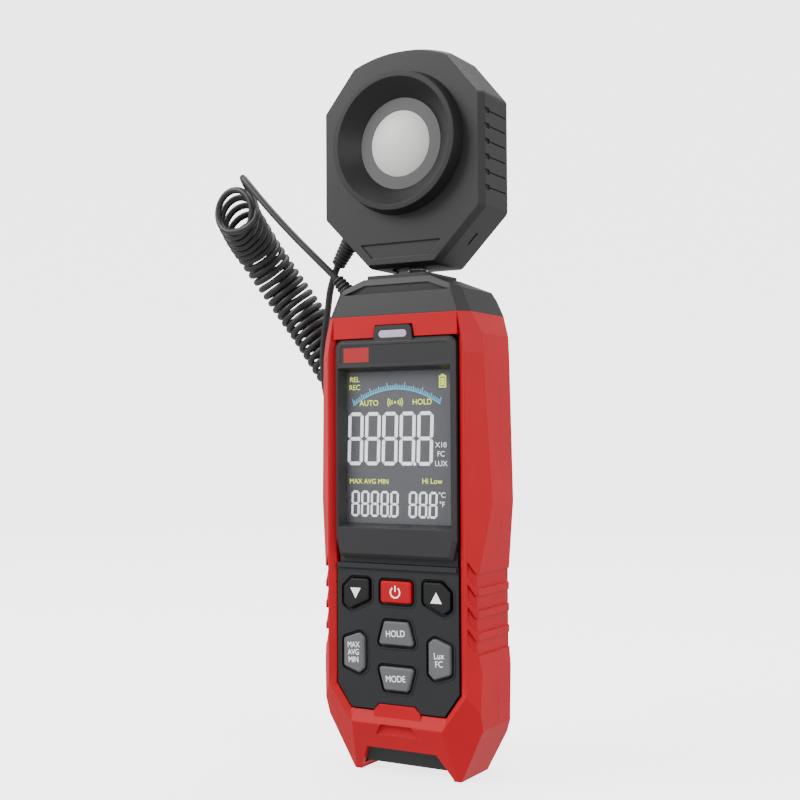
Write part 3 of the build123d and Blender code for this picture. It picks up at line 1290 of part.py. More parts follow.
# ---------------------------------------------------------------- cord
def gland(base, tip, radii, ring_count, housing):
    """Ribbed cone that eases the cord out of a housing, trimmed flush with it."""
    direction = Vector(*tip) - Vector(*base)
    length = direction.length
    base_radius, tip_radius = radii
    taper = (base_radius - tip_radius) / length
    with BuildPart(Plane(base, z_dir=direction)) as body:
        with Locations((0, 0, -GLAND_ROOT)):
            Cone(
                base_radius + taper * GLAND_ROOT,
                tip_radius,
                length + GLAND_ROOT - GLAND_MOUTH,
                align=(Align.CENTER, Align.CENTER, Align.MIN),
            )
        for index in range(ring_count):
            along = length * (index + 0.9) / (ring_count + 0.6)
            with Locations((0, 0, along)):
                Torus(base_radius - taper * along, GLAND_RING)
    return body.part - housing


def corner_radii(points):
    """Bend radius at each corner of a route, as large as its two runs leave room for."""
    radii = []
    for before, corner, after in zip(points, points[1:], points[2:]):
        run_in = Vector(*corner) - Vector(*before)
        run_out = Vector(*after) - Vector(*corner)
        half_turn = radians(run_in.get_angle(run_out)) / 2
        radii.append(0.45 * min(run_in.length, run_out.length) / tan(half_turn))
    return radii


def tube(points, radius, name):
    """Round cord along a route whose corners are all rounded."""
    radii = corner_radii(points)
    with BuildPart() as body:
        with BuildLine() as route:
            FilletPolyline(*points, radius=radii)
        with BuildSketch(Plane(route.wire() @ 0, z_dir=route.wire() % 0)):
            Circle(radius)
        sweep()
    length = route.wire().length
    filled = body.part.volume / (pi * radius**2 * length)
    bends = [round(bend, 1) for bend in radii]
    print(name, "length", round(length, 1), "bend radii", bends, "volume over section", round(filled, 3))
    return body.part


body_gland = gland(BODY_GLAND_BASE, BODY_GLAND_TIP, BODY_GLAND_RADII, BODY_GLAND_RINGS, cap_block(0))
head_gland = gland(HEAD_GLAND_BASE, HEAD_GLAND_TIP, HEAD_GLAND_RADII, HEAD_GLAND_RINGS, head_block(0))
save(body_gland, "body_gland")
save(head_gland, "head_gland")

save(tube(RUN_ROUTE, CORD_RADIUS, "cord_run"), "cord_run")
save(tube(COIL_ROUTE, COIL_RADIUS, "cord_coil"), "cord_coil")
save(tube(TAIL_ROUTE, CORD_RADIUS, "cord_tail"), "cord_tail")
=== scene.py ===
import bpy
import bmesh
import math
from mathutils import Matrix, Vector


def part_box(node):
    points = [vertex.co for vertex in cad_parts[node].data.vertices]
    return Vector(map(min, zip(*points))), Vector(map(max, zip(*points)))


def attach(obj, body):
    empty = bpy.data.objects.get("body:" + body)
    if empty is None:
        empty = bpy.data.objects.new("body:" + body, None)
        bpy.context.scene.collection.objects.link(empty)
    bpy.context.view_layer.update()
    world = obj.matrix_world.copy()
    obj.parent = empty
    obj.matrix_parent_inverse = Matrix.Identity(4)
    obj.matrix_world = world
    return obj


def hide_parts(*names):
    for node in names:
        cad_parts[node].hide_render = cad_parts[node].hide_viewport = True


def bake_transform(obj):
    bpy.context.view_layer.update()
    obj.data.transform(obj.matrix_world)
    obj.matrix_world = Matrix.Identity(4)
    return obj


# Looks of the handheld light meter: materials, screen, key legends, curly cord, lights and camera.
# Sizes and places are in millimetres and turned to metres by MM.

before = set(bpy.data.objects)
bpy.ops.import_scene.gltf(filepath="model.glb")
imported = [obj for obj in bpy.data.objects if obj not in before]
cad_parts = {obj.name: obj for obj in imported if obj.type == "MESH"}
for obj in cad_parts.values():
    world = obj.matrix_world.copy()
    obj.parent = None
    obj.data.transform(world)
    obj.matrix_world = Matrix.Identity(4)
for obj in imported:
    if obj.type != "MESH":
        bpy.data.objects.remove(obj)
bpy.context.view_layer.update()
MM = 0.001


# ---------------------------------------------------------------- materials
def new_material(name):
    """Empty node material with its shader, and shorthand to build its nodes."""
    material = bpy.data.materials.new(name)
    material.use_nodes = True
    return material, material.node_tree.nodes, material.node_tree.links


def shade(colour, factor):
    """Linear colour made lighter or darker."""
    return (*[min(1.0, channel * factor) for channel in colour], 1.0)


def moulded(name, colour, roughness, grain=0.35, grain_mm=0.35, edge=0.3, specular=0.5):
    """Moulded plastic or rubber: fine grain, soft colour drift and a rounded edge."""
    material, nodes, links = new_material(name)
    shader = nodes["Principled BSDF"]
    place = nodes.new("ShaderNodeTexCoord")
    drift = nodes.new("ShaderNodeTexNoise")
    drift.inputs["Scale"].default_value = 28.0
    drift.inputs["Detail"].default_value = 4.0
    links.new(place.outputs["Object"], drift.inputs["Vector"])
    tint = nodes.new("ShaderNodeValToRGB")
    tint.color_ramp.elements[0].position = 0.3
    tint.color_ramp.elements[0].color = shade(colour, 0.9)
    tint.color_ramp.elements[1].position = 0.7
    tint.color_ramp.elements[1].color = shade(colour, 1.08)
    links.new(drift.outputs["Fac"], tint.inputs["Fac"])
    links.new(tint.outputs["Color"], shader.inputs["Base Color"])
    speckle = nodes.new("ShaderNodeTexNoise")
    speckle.inputs["Scale"].default_value = 1.0 / (grain_mm * MM)
    speckle.inputs["Detail"].default_value = 3.0
    links.new(place.outputs["Object"], speckle.inputs["Vector"])
    rough = nodes.new("ShaderNodeMapRange")
    rough.inputs["To Min"].default_value = max(0.02, roughness - 0.06)
    rough.inputs["To Max"].default_value = min(1.0, roughness + 0.06)
    links.new(speckle.outputs["Fac"], rough.inputs["Value"])
    links.new(rough.outputs["Result"], shader.inputs["Roughness"])
    soft_edge = nodes.new("ShaderNodeBevel")
    soft_edge.samples = 6
    soft_edge.inputs["Radius"].default_value = edge * MM
    bump = nodes.new("ShaderNodeBump")
    bump.inputs["Strength"].default_value = grain
    bump.inputs["Distance"].default_value = 0.03 * MM
    links.new(speckle.outputs["Fac"], bump.inputs["Height"])
    links.new(soft_edge.outputs["Normal"], bump.inputs["Normal"])
    links.new(bump.outputs["Normal"], shader.inputs["Normal"])
    shader.inputs["Specular IOR Level"].default_value = specular
    return material


def metal(name, colour, roughness):
    """Plated or blackened metal with fine scratches."""
    material, nodes, links = new_material(name)
    shader = nodes["Principled BSDF"]
    place = nodes.new("ShaderNodeTexCoord")
    stretch = nodes.new("ShaderNodeMapping")
    stretch.inputs["Scale"].default_value = (400.0, 400.0, 4000.0)
    scratch = nodes.new("ShaderNodeTexNoise")
    scratch.inputs["Scale"].default_value = 1.0
    tint = nodes.new("ShaderNodeValToRGB")
    tint.color_ramp.elements[0].color = shade(colour, 0.85)
    tint.color_ramp.elements[1].color = shade(colour, 1.12)
    rough = nodes.new("ShaderNodeMapRange")
    rough.inputs["To Min"].default_value = roughness - 0.08
    rough.inputs["To Max"].default_value = roughness + 0.1
    shader.inputs["Metallic"].default_value = 1.0
    links.new(place.outputs["Object"], stretch.inputs["Vector"])
    links.new(stretch.outputs["Vector"], scratch.inputs["Vector"])
    links.new(scratch.outputs["Fac"], tint.inputs["Fac"])
    links.new(tint.outputs["Color"], shader.inputs["Base Color"])
    links.new(scratch.outputs["Fac"], rough.inputs["Value"])
    links.new(rough.outputs["Result"], shader.inputs["Roughness"])
    return material


def printed(name, colour, glow=0.0):
    """Printed ink or a lit display mark, with a little mottling; glow makes it give off light, which
    on printed ink is painted light.
    """
    material, nodes, links = new_material(name)
    shader = nodes["Principled BSDF"]
    place = nodes.new("ShaderNodeTexCoord")
    mottle = nodes.new("ShaderNodeTexNoise")
    mottle.inputs["Scale"].default_value = 900.0
    tint = nodes.new("ShaderNodeValToRGB")
    tint.color_ramp.elements[0].color = shade(colour, 0.93)
    tint.color_ramp.elements[1].color = shade(colour, 1.04)
    links.new(place.outputs["Object"], mottle.inputs["Vector"])
    links.new(mottle.outputs["Fac"], tint.inputs["Fac"])
    links.new(tint.outputs["Color"], shader.inputs["Base Color"])
    links.new(tint.outputs["Color"], shader.inputs["Emission Color"])
    shader.inputs["Emission Strength"].default_value = glow
    shader.inputs["Roughness"].default_value = 0.5
    return material


def window_material():
    """Thin clear window that lets the screen show and keeps a faint reflection."""
    material, nodes, links = new_material("clear_window")
    shader = nodes["Principled BSDF"]
    clear = nodes.new("ShaderNodeBsdfTransparent")
    clear.inputs["Color"].default_value = (0.97, 0.975, 0.98, 1.0)
    blend = nodes.new("ShaderNodeMixShader")
    haze = nodes.new("ShaderNodeTexNoise")
    haze.inputs["Scale"].default_value = 120.0
    faint = nodes.new("ShaderNodeMapRange")
    faint.inputs["To Min"].default_value = 0.03
    faint.inputs["To Max"].default_value = 0.06
    shader.inputs["Base Color"].default_value = (0.8, 0.82, 0.85, 1.0)
    shader.inputs["Roughness"].default_value = 0.08
    output = nodes["Material Output"]
    links.new(haze.outputs["Fac"], faint.inputs["Value"])
    links.new(faint.outputs["Result"], blend.inputs["Fac"])
    links.new(clear.outputs["BSDF"], blend.inputs[1])
    links.new(shader.outputs["BSDF"], blend.inputs[2])
    links.new(blend.outputs["Shader"], output.inputs["Surface"])
    return material


def milky(name, colour, roughness, depth_mm):
    """Translucent plastic, such as the diffuser."""
    material = moulded(name, colour, roughness, grain=0.08, grain_mm=0.2, edge=0.2)
    shader = material.node_tree.nodes["Principled BSDF"]
    shader.inputs["Subsurface Weight"].default_value = 0.6
    shader.inputs["Subsurface Radius"].default_value = (1.0, 0.95, 0.9)
    shader.inputs["Subsurface Scale"].default_value = depth_mm * MM
    return material


RED = moulded("red_shell", (0.52, 0.004, 0.012), 0.46, grain=0.25, edge=0.35, specular=0.2)
BLACK = moulded("black_shell", (0.016, 0.016, 0.017), 0.5, grain=0.5, edge=0.35, specular=0.4)
HOOD = moulded("hood_black", (0.009, 0.009, 0.010), 0.42, specular=0.3)
BEZEL = moulded("bezel_black", (0.022, 0.022, 0.024), 0.5, grain=0.4, edge=0.25, specular=0.4)
KEYPAD = moulded("keypad_grey", (0.018, 0.019, 0.021), 0.6, grain=0.3, edge=0.15, specular=0.35)
KEY_DARK = moulded("key_dark", (0.008, 0.008, 0.009), 0.5, grain=0.2, edge=0.2, specular=0.35)
KEY_GREY = moulded("key_grey", (0.13, 0.132, 0.136), 0.48, grain=0.2, edge=0.2, specular=0.4)
KEY_RED = moulded("key_red", (0.50, 0.004, 0.012), 0.43, grain=0.2, edge=0.2, specular=0.2)
PLATE = moulded("name_plate", (0.020, 0.020, 0.022), 0.45, grain=0.15, edge=0.1, specular=0.4)
PLATE_RED = printed("plate_red", (0.42, 0.002, 0.006))
RUBBER = moulded("cord_rubber", (0.016, 0.016, 0.018), 0.45, grain=0.2, grain_mm=0.2, edge=0.1)
GLAND = moulded("gland_rubber", (0.020, 0.020, 0.022), 0.5, grain=0.2, grain_mm=0.2, edge=0.15)
RING = moulded("grey_ring", (0.075, 0.075, 0.079), 0.5, grain=0.2, edge=0.15)
INNER = moulded("inner_plastic", (0.05, 0.05, 0.055), 0.6)
BOARD = moulded("board_green", (0.015, 0.14, 0.05), 0.35, grain=0.1)
CHIP = moulded("chip_black", (0.02, 0.02, 0.022), 0.5)
JACKET = moulded("cell_jacket", (0.10, 0.11, 0.16), 0.3, grain=0.05)
SCREEN = moulded("screen_grey", (0.088, 0.090, 0.098), 0.5, grain=0.05, grain_mm=0.1, edge=0.05)
LENS = milky("indicator_lens", (0.60, 0.54, 0.66), 0.3, 0.6)
DOME = milky("diffuser_dome", (0.74, 0.74, 0.72), 0.45, 0.8)
STEEL = metal("plated_steel", (0.62, 0.61, 0.58), 0.28)
DARK_STEEL = metal("dark_steel", (0.09, 0.09, 0.095), 0.38)
WINDOW = window_material()
FILTER = moulded("colour_filter", (0.10, 0.32, 0.24), 0.15, grain=0.02)
# The key legends' white ink glows at strength 0.7: painted light, since printed ink gives none.
LEGEND_INK_WITH_PAINTED_GLOW = printed("white_ink_painted_glow", (0.86, 0.87, 0.88), 0.7)
MARK_WHITE = printed("mark_white", (0.86, 0.87, 0.90), 0.8)
MARK_YELLOW = printed("mark_yellow", (0.76, 0.86, 0.07), 0.9)
MARK_BLUE = printed("mark_blue", (0.10, 0.50, 0.72), 0.4)

FINISHES = {
    RED: ["front_case", "rear_case", "battery_door"],
    BLACK: ["top_cap_front", "top_cap_rear", "base_plug", "head_front_shell", "head_rear_shell"],
    BEZEL: ["display_bezel"],
    HOOD: ["sensor_hood"],
    KEYPAD: ["keypad_panel"],
    KEY_DARK: ["button_down", "button_up"],
    KEY_GREY: ["button_hold", "button_mode", "button_range", "button_unit"],
    KEY_RED: ["button_power"],
    PLATE: ["label_plate"],
    LENS: ["indicator_lens"],
    WINDOW: ["lcd_window"],
    SCREEN: ["lcd_panel"],
    GLAND: ["body_gland", "head_gland", "lcd_connectors"],
    BOARD: ["main_pcb", "sensor_pcb"],
    CHIP: ["board_components", "buzzer", "photodiode", "indicator_led"],
    INNER: ["battery_tray", "dock_socket", "sensor_carrier"],
    STEEL: ["battery_contacts", "battery_springs", "dome_switches", "swivel_washer"],
    DARK_STEEL: [
        "case_screws",
        "head_screws",
        "battery_door_screw",
        "dock_plug",
        "swivel_stop",
        "retaining_clip",
    ],
    JACKET: ["battery_cell_1", "battery_cell_2", "battery_cell_3"],
    RING: ["dome_seat"],
    DOME: ["diffuser_dome"],
    FILTER: ["optical_filter"],
}
for material, node_names in FINISHES.items():
    for node_name in node_names:
        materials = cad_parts[node_name].data.materials
        materials.clear()
        materials.append(material)


# ---------------------------------------------------------------- flat marks
def plate(name, outlines, front_y, thickness, material, body):
    """Thin raised marks: closed outlines of (x, z) in mm, standing out from depth front_y."""
    shape = bmesh.new()
    for outline in outlines:
        lower = [shape.verts.new((x * MM, front_y * MM, z * MM)) for x, z in outline]
        upper = [shape.verts.new((x * MM, (front_y - thickness) * MM, z * MM)) for x, z in outline]
        shape.faces.new(upper)
        shape.faces.new(list(reversed(lower)))
        for index in range(len(outline)):
            following = (index + 1) % len(outline)
            shape.faces.new([lower[index], lower[following], upper[following], upper[index]])
    bmesh.ops.recalc_face_normals(shape, faces=shape.faces)
    mesh = bpy.data.meshes.new(name)
    shape.to_mesh(mesh)
    shape.free()
    mesh.materials.append(material)
    piece = bpy.data.objects.new(name, mesh)
    bpy.context.scene.collection.objects.link(piece)
    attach(piece, body)


def bar(x, z, width, height, slant=0.0):
    """Upright bar centred on (x, z), its top shifted by slant."""
    half_x = width / 2
    half_z = height / 2
    return [
        (x - half_x - slant / 2, z - half_z),
        (x + half_x - slant / 2, z - half_z),
        (x + half_x + slant / 2, z + half_z),
        (x - half_x + slant / 2, z + half_z),
    ]


def lettering(name, words, x, z, size, front_y, material, body, turn=0.0, stretch=1.0):
    """Flat raised words centred on (x, z), in millimetres."""
    curve = bpy.data.curves.new(name + "_text", "FONT")
    curve.body = words
    curve.size = size * MM
    curve.align_x = "CENTER"
    curve.align_y = "CENTER"
    curve.extrude = 0.03 * MM
    words_object = bpy.data.objects.new(name + "_text", curve)
    mesh = bpy.data.meshes.new_from_object(words_object)
    bpy.data.objects.remove(words_object)
    upright = Matrix.Rotation(math.radians(90), 4, "X")
    spin = Matrix.Rotation(math.radians(turn), 4, "Y")
    place = Matrix.Translation((x * MM, front_y * MM, z * MM))
    mesh.transform(place @ spin @ upright @ Matrix.Diagonal((stretch, 1.0, 1.0, 1.0)))
    mesh.materials.clear()
    mesh.materials.append(material)
    piece = bpy.data.objects.new(name, mesh)
    bpy.context.scene.collection.objects.link(piece)
    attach(piece, body)


# ---------------------------------------------------------------- screen
screen_low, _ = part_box("lcd_panel")
MARK_LIFT = 0.02  # marks stand this far in front of the screen
MARK_THICKNESS = 0.04
SCREEN_FACE_Y = screen_low[1] / MM - MARK_LIFT
WINDOW_MARGIN = 0.7  # hidden by the screen's frame
window_low, window_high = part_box("lcd_window")
SCREEN_LEFT = window_low[0] / MM + WINDOW_MARGIN
SCREEN_RIGHT = window_high[0] / MM - WINDOW_MARGIN
SCREEN_BOTTOM = window_low[2] / MM + WINDOW_MARGIN
SCREEN_TOP = window_high[2] / MM - WINDOW_MARGIN
SCREEN_WIDTH = SCREEN_RIGHT - SCREEN_LEFT
SCREEN_HEIGHT = SCREEN_TOP - SCREEN_BOTTOM


def on_screen(across, down):
    """Point of the screen given as shares of its width and height from its top left."""
    return SCREEN_LEFT + across * SCREEN_WIDTH, SCREEN_TOP - down * SCREEN_HEIGHT


DIGIT_SLANT = 0.03
SEGMENT_GAP_SHARE = 0.16  # of a segment's width, left free at its ends


def digit(x, z, width, height, line):
    """Outlines of all seven segments of a figure whose middle is (x, z)."""
    half_x = width / 2 - line / 2
    half_z = height / 2 - line / 2
    gap = line * SEGMENT_GAP_SHARE

    def lean(points):
        return [(px + (pz - z) * DIGIT_SLANT, pz) for px, pz in points]

    def flat(centre_z):
        left = x - half_x + gap
        right = x + half_x - gap
        half = line / 2
        return lean(
            [
                (left, centre_z),
                (left + half, centre_z - half),
                (right - half, centre_z - half),
                (right, centre_z),
                (right - half, centre_z + half),
                (left + half, centre_z + half),
            ]
        )

    def tall(centre_x, low_z, high_z):
        low = low_z + gap
        high = high_z - gap
        half = line / 2
        return lean(
            [
                (centre_x, low),
                (centre_x + half, low + half),
                (centre_x + half, high - half),
                (centre_x, high),
                (centre_x - half, high - half),
                (centre_x - half, low + half),
            ]
        )

    return [
        flat(z + half_z),
        tall(x + half_x, z, z + half_z),
        tall(x + half_x, z - half_z, z),
        flat(z - half_z),
        tall(x - half_x, z - half_z, z),
        tall(x - half_x, z, z + half_z),
        flat(z),
    ]


BIG_DIGITS = 5
BIG_SIZE = (6.1, 18.0)
BIG_LINE = 1.2
BIG_PITCH = 6.8
BIG_POINT = 1.0
big_marks = []
for index in range(BIG_DIGITS):
    x, z = on_screen(0.076 + index * BIG_PITCH / SCREEN_WIDTH, 0.443)
    big_marks += digit(x, z, *BIG_SIZE, BIG_LINE)
point_x, point_z = on_screen(0.645, 0.608)
big_marks.append(bar(point_x, point_z, BIG_POINT, BIG_POINT))
plate("screen_big_digits", big_marks, SCREEN_FACE_Y, MARK_THICKNESS, MARK_WHITE, "case")

SMALL_SIZE = (3.2, 8.8)
SMALL_LINE = 0.75
SMALL_PITCH = 3.85
SMALL_POINT = 0.6
SMALL_GROUPS = ((0.072, 5), (0.625, 3))  # share across of the first digit, and how many
small_marks = []
for first_share, count in SMALL_GROUPS:
    for index in range(count):
        x, z = on_screen(first_share + index * SMALL_PITCH / SCREEN_WIDTH, 0.873)
        small_marks += digit(x, z, *SMALL_SIZE, SMALL_LINE)
    point_x = x - SMALL_PITCH / 2
    point_z = z - SMALL_SIZE[1] / 2 + SMALL_POINT / 2
    small_marks.append(bar(point_x, point_z, SMALL_POINT, SMALL_POINT))
plate("screen_small_digits", small_marks, SCREEN_FACE_Y, MARK_THICKNESS, MARK_WHITE, "case")

# The bar scale is a shallow arc of ticks over a line.
TICKS = 51
SCALE_LEFT = 0.055
SCALE_WIDTH = 0.83
SCALE_ENDS_DOWN = 0.222
SCALE_RISE = 0.105
TICK_WIDTH = 0.32
TICK_LEAN = 0.35
LONG_TICK = 2.3
MIDDLE_TICK = 1.8
SHORT_TICK = 1.3
SCALE_LINE_HALF = 0.2


def scale_point(share):
    """Point of the scale's base line, from its left end at 0 to its right end at 1."""
    rise = 1.0 - (2 * share - 1) ** 2
    return on_screen(SCALE_LEFT + SCALE_WIDTH * share, SCALE_ENDS_DOWN - SCALE_RISE * rise)


scale_marks = []
for index in range(TICKS):
    share = index / (TICKS - 1)
    x, z = scale_point(share)
    if index % 10 == 0:
        height = LONG_TICK
    elif index % 5 == 0:
        height = MIDDLE_TICK
    else:
        height = SHORT_TICK
    lean = (2 * share - 1) * height * TICK_LEAN
    scale_marks.append(bar(x, z + height / 2, TICK_WIDTH, height, lean))
    if index < TICKS - 1:
        next_x, next_z = scale_point((index + 1) / (TICKS - 1))
        stretch_of_line = [
            (x, z - SCALE_LINE_HALF),
            (next_x, next_z - SCALE_LINE_HALF),
            (next_x, next_z + SCALE_LINE_HALF),
            (x, z + SCALE_LINE_HALF),
        ]
        scale_marks.append(stretch_of_line)
plate("screen_scale", scale_marks, SCREEN_FACE_Y, MARK_THICKNESS, MARK_BLUE, "case")

# The battery symbol is an outline with a cap and three bars inside.
BATTERY_LINE = 0.35
BATTERY_SIZE = (2.6, 3.9)
BATTERY_HALF_WIDTH = 1.15
BATTERY_HALF_HEIGHT = 1.8
BATTERY_CAP_SIZE = (1.1, 0.5)
BATTERY_CAP_RISE = 2.25
BATTERY_BAR_SIZE = (1.5, 0.7)
BATTERY_BAR_PITCH = 0.9
battery_x, battery_z = on_screen(0.907, 0.078)
battery_marks = []
for side in (-1, 1):
    wall_x = battery_x + side * BATTERY_HALF_WIDTH
    battery_marks.append(bar(wall_x, battery_z, BATTERY_LINE, BATTERY_SIZE[1]))
for side in (1, -1):
    wall_z = battery_z + side * BATTERY_HALF_HEIGHT
    battery_marks.append(bar(battery_x, wall_z, BATTERY_SIZE[0], BATTERY_LINE))
battery_marks.append(bar(battery_x, battery_z + BATTERY_CAP_RISE, *BATTERY_CAP_SIZE))
for step in (1, 0, -1):
    battery_marks.append(bar(battery_x, battery_z + step * BATTERY_BAR_PITCH, *BATTERY_BAR_SIZE))
plate("screen_battery", battery_marks, SCREEN_FACE_Y, MARK_THICKNESS, MARK_YELLOW, "case")

# Piece name, words, shares across and down the screen, size in mm, and ink.
WORDS = (
    ("screen_word_auto", "AUTO", 0.208, 0.209, 2.7, MARK_YELLOW),
    ("screen_word_hold", "HOLD", 0.716, 0.207, 2.7, MARK_YELLOW),
    ("screen_word_rel", "REL", 0.068, 0.050, 2.5, MARK_YELLOW),
    ("screen_word_rec", "REC", 0.068, 0.103, 2.5, MARK_YELLOW),
    ("screen_word_limits", "MAX AVG MIN", 0.205, 0.727, 2.4, MARK_YELLOW),
    ("screen_word_alarm", "Hi Low", 0.805, 0.72, 2.6, MARK_YELLOW),
    ("screen_times_ten", "X10", 0.888, 0.486, 2.5, MARK_WHITE),
    ("screen_candles", "FC", 0.888, 0.544, 2.5, MARK_WHITE),
    ("screen_lux", "LUX", 0.888, 0.606, 2.5, MARK_WHITE),
    ("screen_celsius", "°C", 0.895, 0.808, 2.5, MARK_WHITE),
    ("screen_fahrenheit", "°F", 0.895, 0.868, 2.5, MARK_WHITE),
)
for name, words, across, down, size, material in WORDS:
    x, z = on_screen(across, down)
    lettering(name, words, x, z, size, SCREEN_FACE_Y, material, "case")

# ---------------------------------------------------------------- name plate
plate_low, plate_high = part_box("label_plate")
BLOCK_SIDE_MARGIN = 1.4
BLOCK_LOW_MARGIN = 0.7
BLOCK_HIGH_MARGIN = 0.8
BLOCK_THICKNESS = 0.05
BLOCK_LEFT = plate_low[0] / MM + BLOCK_SIDE_MARGIN
BLOCK_WIDTH = 10.0
BLOCK_LOW = plate_low[2] / MM + BLOCK_LOW_MARGIN
BLOCK_HIGH = plate_high[2] / MM - BLOCK_HIGH_MARGIN
block = [
    (BLOCK_LEFT, BLOCK_LOW),
    (BLOCK_LEFT + BLOCK_WIDTH, BLOCK_LOW),
    (BLOCK_LEFT + BLOCK_WIDTH, BLOCK_HIGH),
    (BLOCK_LEFT, BLOCK_HIGH),
]
plate("name_block", [block], plate_low[1] / MM, BLOCK_THICKNESS, PLATE_RED, "case")


# ---------------------------------------------------------------- key legends, in white ink with a painted glow
def key_face(name):
    """Middle of a key's front face in mm, and the depth of that face."""
    low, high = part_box(name)
    return (low[0] + high[0]) / 2 / MM, (low[2] + high[2]) / 2 / MM, low[1] / MM


def arc_band(x, z, radius, line, start, end, steps):
    """Outline pieces of a ring between two angles in degrees, from straight up, clockwise."""
    pieces = []
    for index in range(steps):
        first = math.radians(start + (end - start) * index / steps)
        second = math.radians(start + (end - start) * (index + 1) / steps)
        corners = []
        outer = radius + line
        for angle, reach in ((first, radius), (second, radius), (second, outer), (first, outer)):
            corners.append((x + reach * math.sin(angle), z + reach * math.cos(angle)))
        pieces.append(corners)
    return pieces


# A dot with three waves on either side, between AUTO and HOLD, shows that the buzzer is on.
WAVE_RADII = (1.1, 1.9, 2.7)
WAVE_LINE = 0.3
WAVE_DOT = 0.7
WAVE_STEPS = 5
wave_x, wave_z = on_screen(0.461, 0.205)
waves = [bar(wave_x, wave_z, WAVE_DOT, WAVE_DOT)]
for radius in WAVE_RADII:
    waves += arc_band(wave_x, wave_z, radius, WAVE_LINE, 60, 120, WAVE_STEPS)
    waves += arc_band(wave_x, wave_z, radius, WAVE_LINE, 240, 300, WAVE_STEPS)
plate("screen_sound", waves, SCREEN_FACE_Y, MARK_THICKNESS, MARK_YELLOW, "case")

# Corners of the two triangles, from the middle of their keys.
ARROWS = {
    "down": ((-2.0, 1.9), (0.0, -1.6), (2.0, 1.9)),
    "up": ((-2.1, -1.6), (2.1, -1.6), (0.0, 2.0)),
}
for way, corners in ARROWS.items():
    x, z, y = key_face("button_" + way)
    arrow = [(x + across, z + rise) for across, rise in corners]
    plate("legend_" + way, [arrow], y, MARK_THICKNESS, LEGEND_INK_WITH_PAINTED_GLOW, "button_" + way)

POWER_RING_RADIUS = 1.55
POWER_LINE = 0.45
POWER_GAP = 38  # degrees left open on each side of the upright bar
POWER_STEPS = 22
POWER_BAR_RISE = 1.2
POWER_BAR_HEIGHT = 2.0
power_x, power_z, power_y = key_face("button_power")
power_marks = arc_band(
    power_x,
    power_z,
    POWER_RING_RADIUS,
    POWER_LINE,
    POWER_GAP,
    360 - POWER_GAP,
    POWER_STEPS,
)
power_marks.append(bar(power_x, power_z + POWER_BAR_RISE, POWER_LINE, POWER_BAR_HEIGHT))
plate("legend_power", power_marks, power_y, MARK_THICKNESS, LEGEND_INK_WITH_PAINTED_GLOW, "button_power")

# Key, words, rise above the key's middle, size in mm, and how far the letters are narrowed.
LEGEND_TURN = -4.0
LEGENDS = (
    ("button_hold", "HOLD", -0.1, 3.0, 0.9),
    ("button_mode", "MODE", 0.0, 3.0, 0.9),
    ("button_range", "MAX", 2.5, 2.75, 0.82),
    ("button_range", "AVG", 0.0, 2.75, 0.82),
    ("button_range", "MIN", -2.5, 2.75, 0.82),
    ("button_unit", "Lux", 1.2, 2.9, 0.9),
    ("button_unit", "FC", -1.5, 2.9, 0.9),
)
for key_name, words, rise, size, stretch in LEGENDS:
    x, z, y = key_face(key_name)
    legend_name = "legend_" + key_name.replace("button_", "") + "_" + words.lower()
    lettering(legend_name, words, x, z + rise, size, y, LEGEND_INK_WITH_PAINTED_GLOW, key_name, LEGEND_TURN, stretch)


# ---------------------------------------------------------------- curly cord
RUN_ROUTE = (
    (-30.3, -3.0, 169.5),
    (-36.8, -3.9, 175.8),
    (-47.7, -4.0, 185.7),
    (-59.5, -4.3, 197.5),
    (-68.0, -4.0, 206.6),
    (-71.4, -3.2, 209.9),
    (-74.0, 0.2, 210.4),
    (-73.4, 2.6, 206.8),
    (-69.2, 1.8, 200.4),
    (-66.2, -1.0, 194.6),
    (-69.6, -3.2, 190.6),
    (-76.5, -1.0, 192.4),
)
COIL_ROUTE = (
    (-77.0, -2.0, 198.8),
    (-81.0, 14.0, 190.0),
    (-73.9, 27.5, 170.7),
    (-60.2, 33.6, 149.0),
    (-41.0, 36.3, 119.0),
)
TAIL_ROUTE = (
    (-33.7, 3.0, 174.8),
    (-38.4, 5.4, 168.4),
    (-42.7, 10.4, 161.0),
    (-47.5, 15.2, 152.3),
    (-50.5, 18.0, 141.0),
    (-49.8, 19.2, 128.5),
    (-45.5, 20.0, 116.5),
    (-39.8, 22.4, 107.2),
    (-35.4, 28.4, 103.3),
    (-35.4, 35.0, 107.4),
    (-38.8, 36.3, 115.6),
    (-42.4, 36.0, 121.6),
)
WIRE_RADIUS = 1.25
COIL_RESOLUTION = 6
TAIL_RESOLUTION = 8
COIL_TURNS = 30
POINTS_PER_TURN = 14
RING_RADIUS = 7.7
MOUTH_RADIUS = 8.7  # the first ring stands a little wider than the rest
LEAN_SPAN = 0.12  # share of the coil over which its turns' lean is evened out
EVENING = 0.015  # draws turns from the coil's ends towards its middle
FIRST_RING_NORMAL = Vector((-0.153, -0.989, -0.018))
SETTLING_TURNS = 6  # from the first ring's lean to the coil's own


def nurbs_curve(name, points, bevel):
    """Smooth open curve through control points in mm."""
    curve = bpy.data.curves.new(name, "CURVE")
    curve.dimensions = "3D"
    spline = curve.splines.new("NURBS")
    spline.points.add(len(points) - 1)
    for point, place in zip(spline.points, points):
        point.co = (place[0] * MM, place[1] * MM, place[2] * MM, 1.0)
    spline.order_u = 3
    spline.use_endpoint_u = True
    curve.resolution_u = COIL_RESOLUTION
    curve.bevel_depth = bevel * MM
    curve.bevel_resolution = 5
    curve.use_fill_caps = True
    piece = bpy.data.objects.new(name, curve)
    bpy.context.scene.collection.objects.link(piece)
    return piece


def line_points(points, resolution=24):
    """Points in mm read from a route's smooth curve."""
    guide = nurbs_curve("guide", points, 0.0)
    guide.data.resolution_u = resolution
    mesh = bpy.data.meshes.new_from_object(guide)
    read = [vertex.co / MM for vertex in mesh.vertices]
    guide_data = guide.data
    bpy.data.objects.remove(guide)
    bpy.data.curves.remove(guide_data)
    bpy.data.meshes.remove(mesh)
    return read


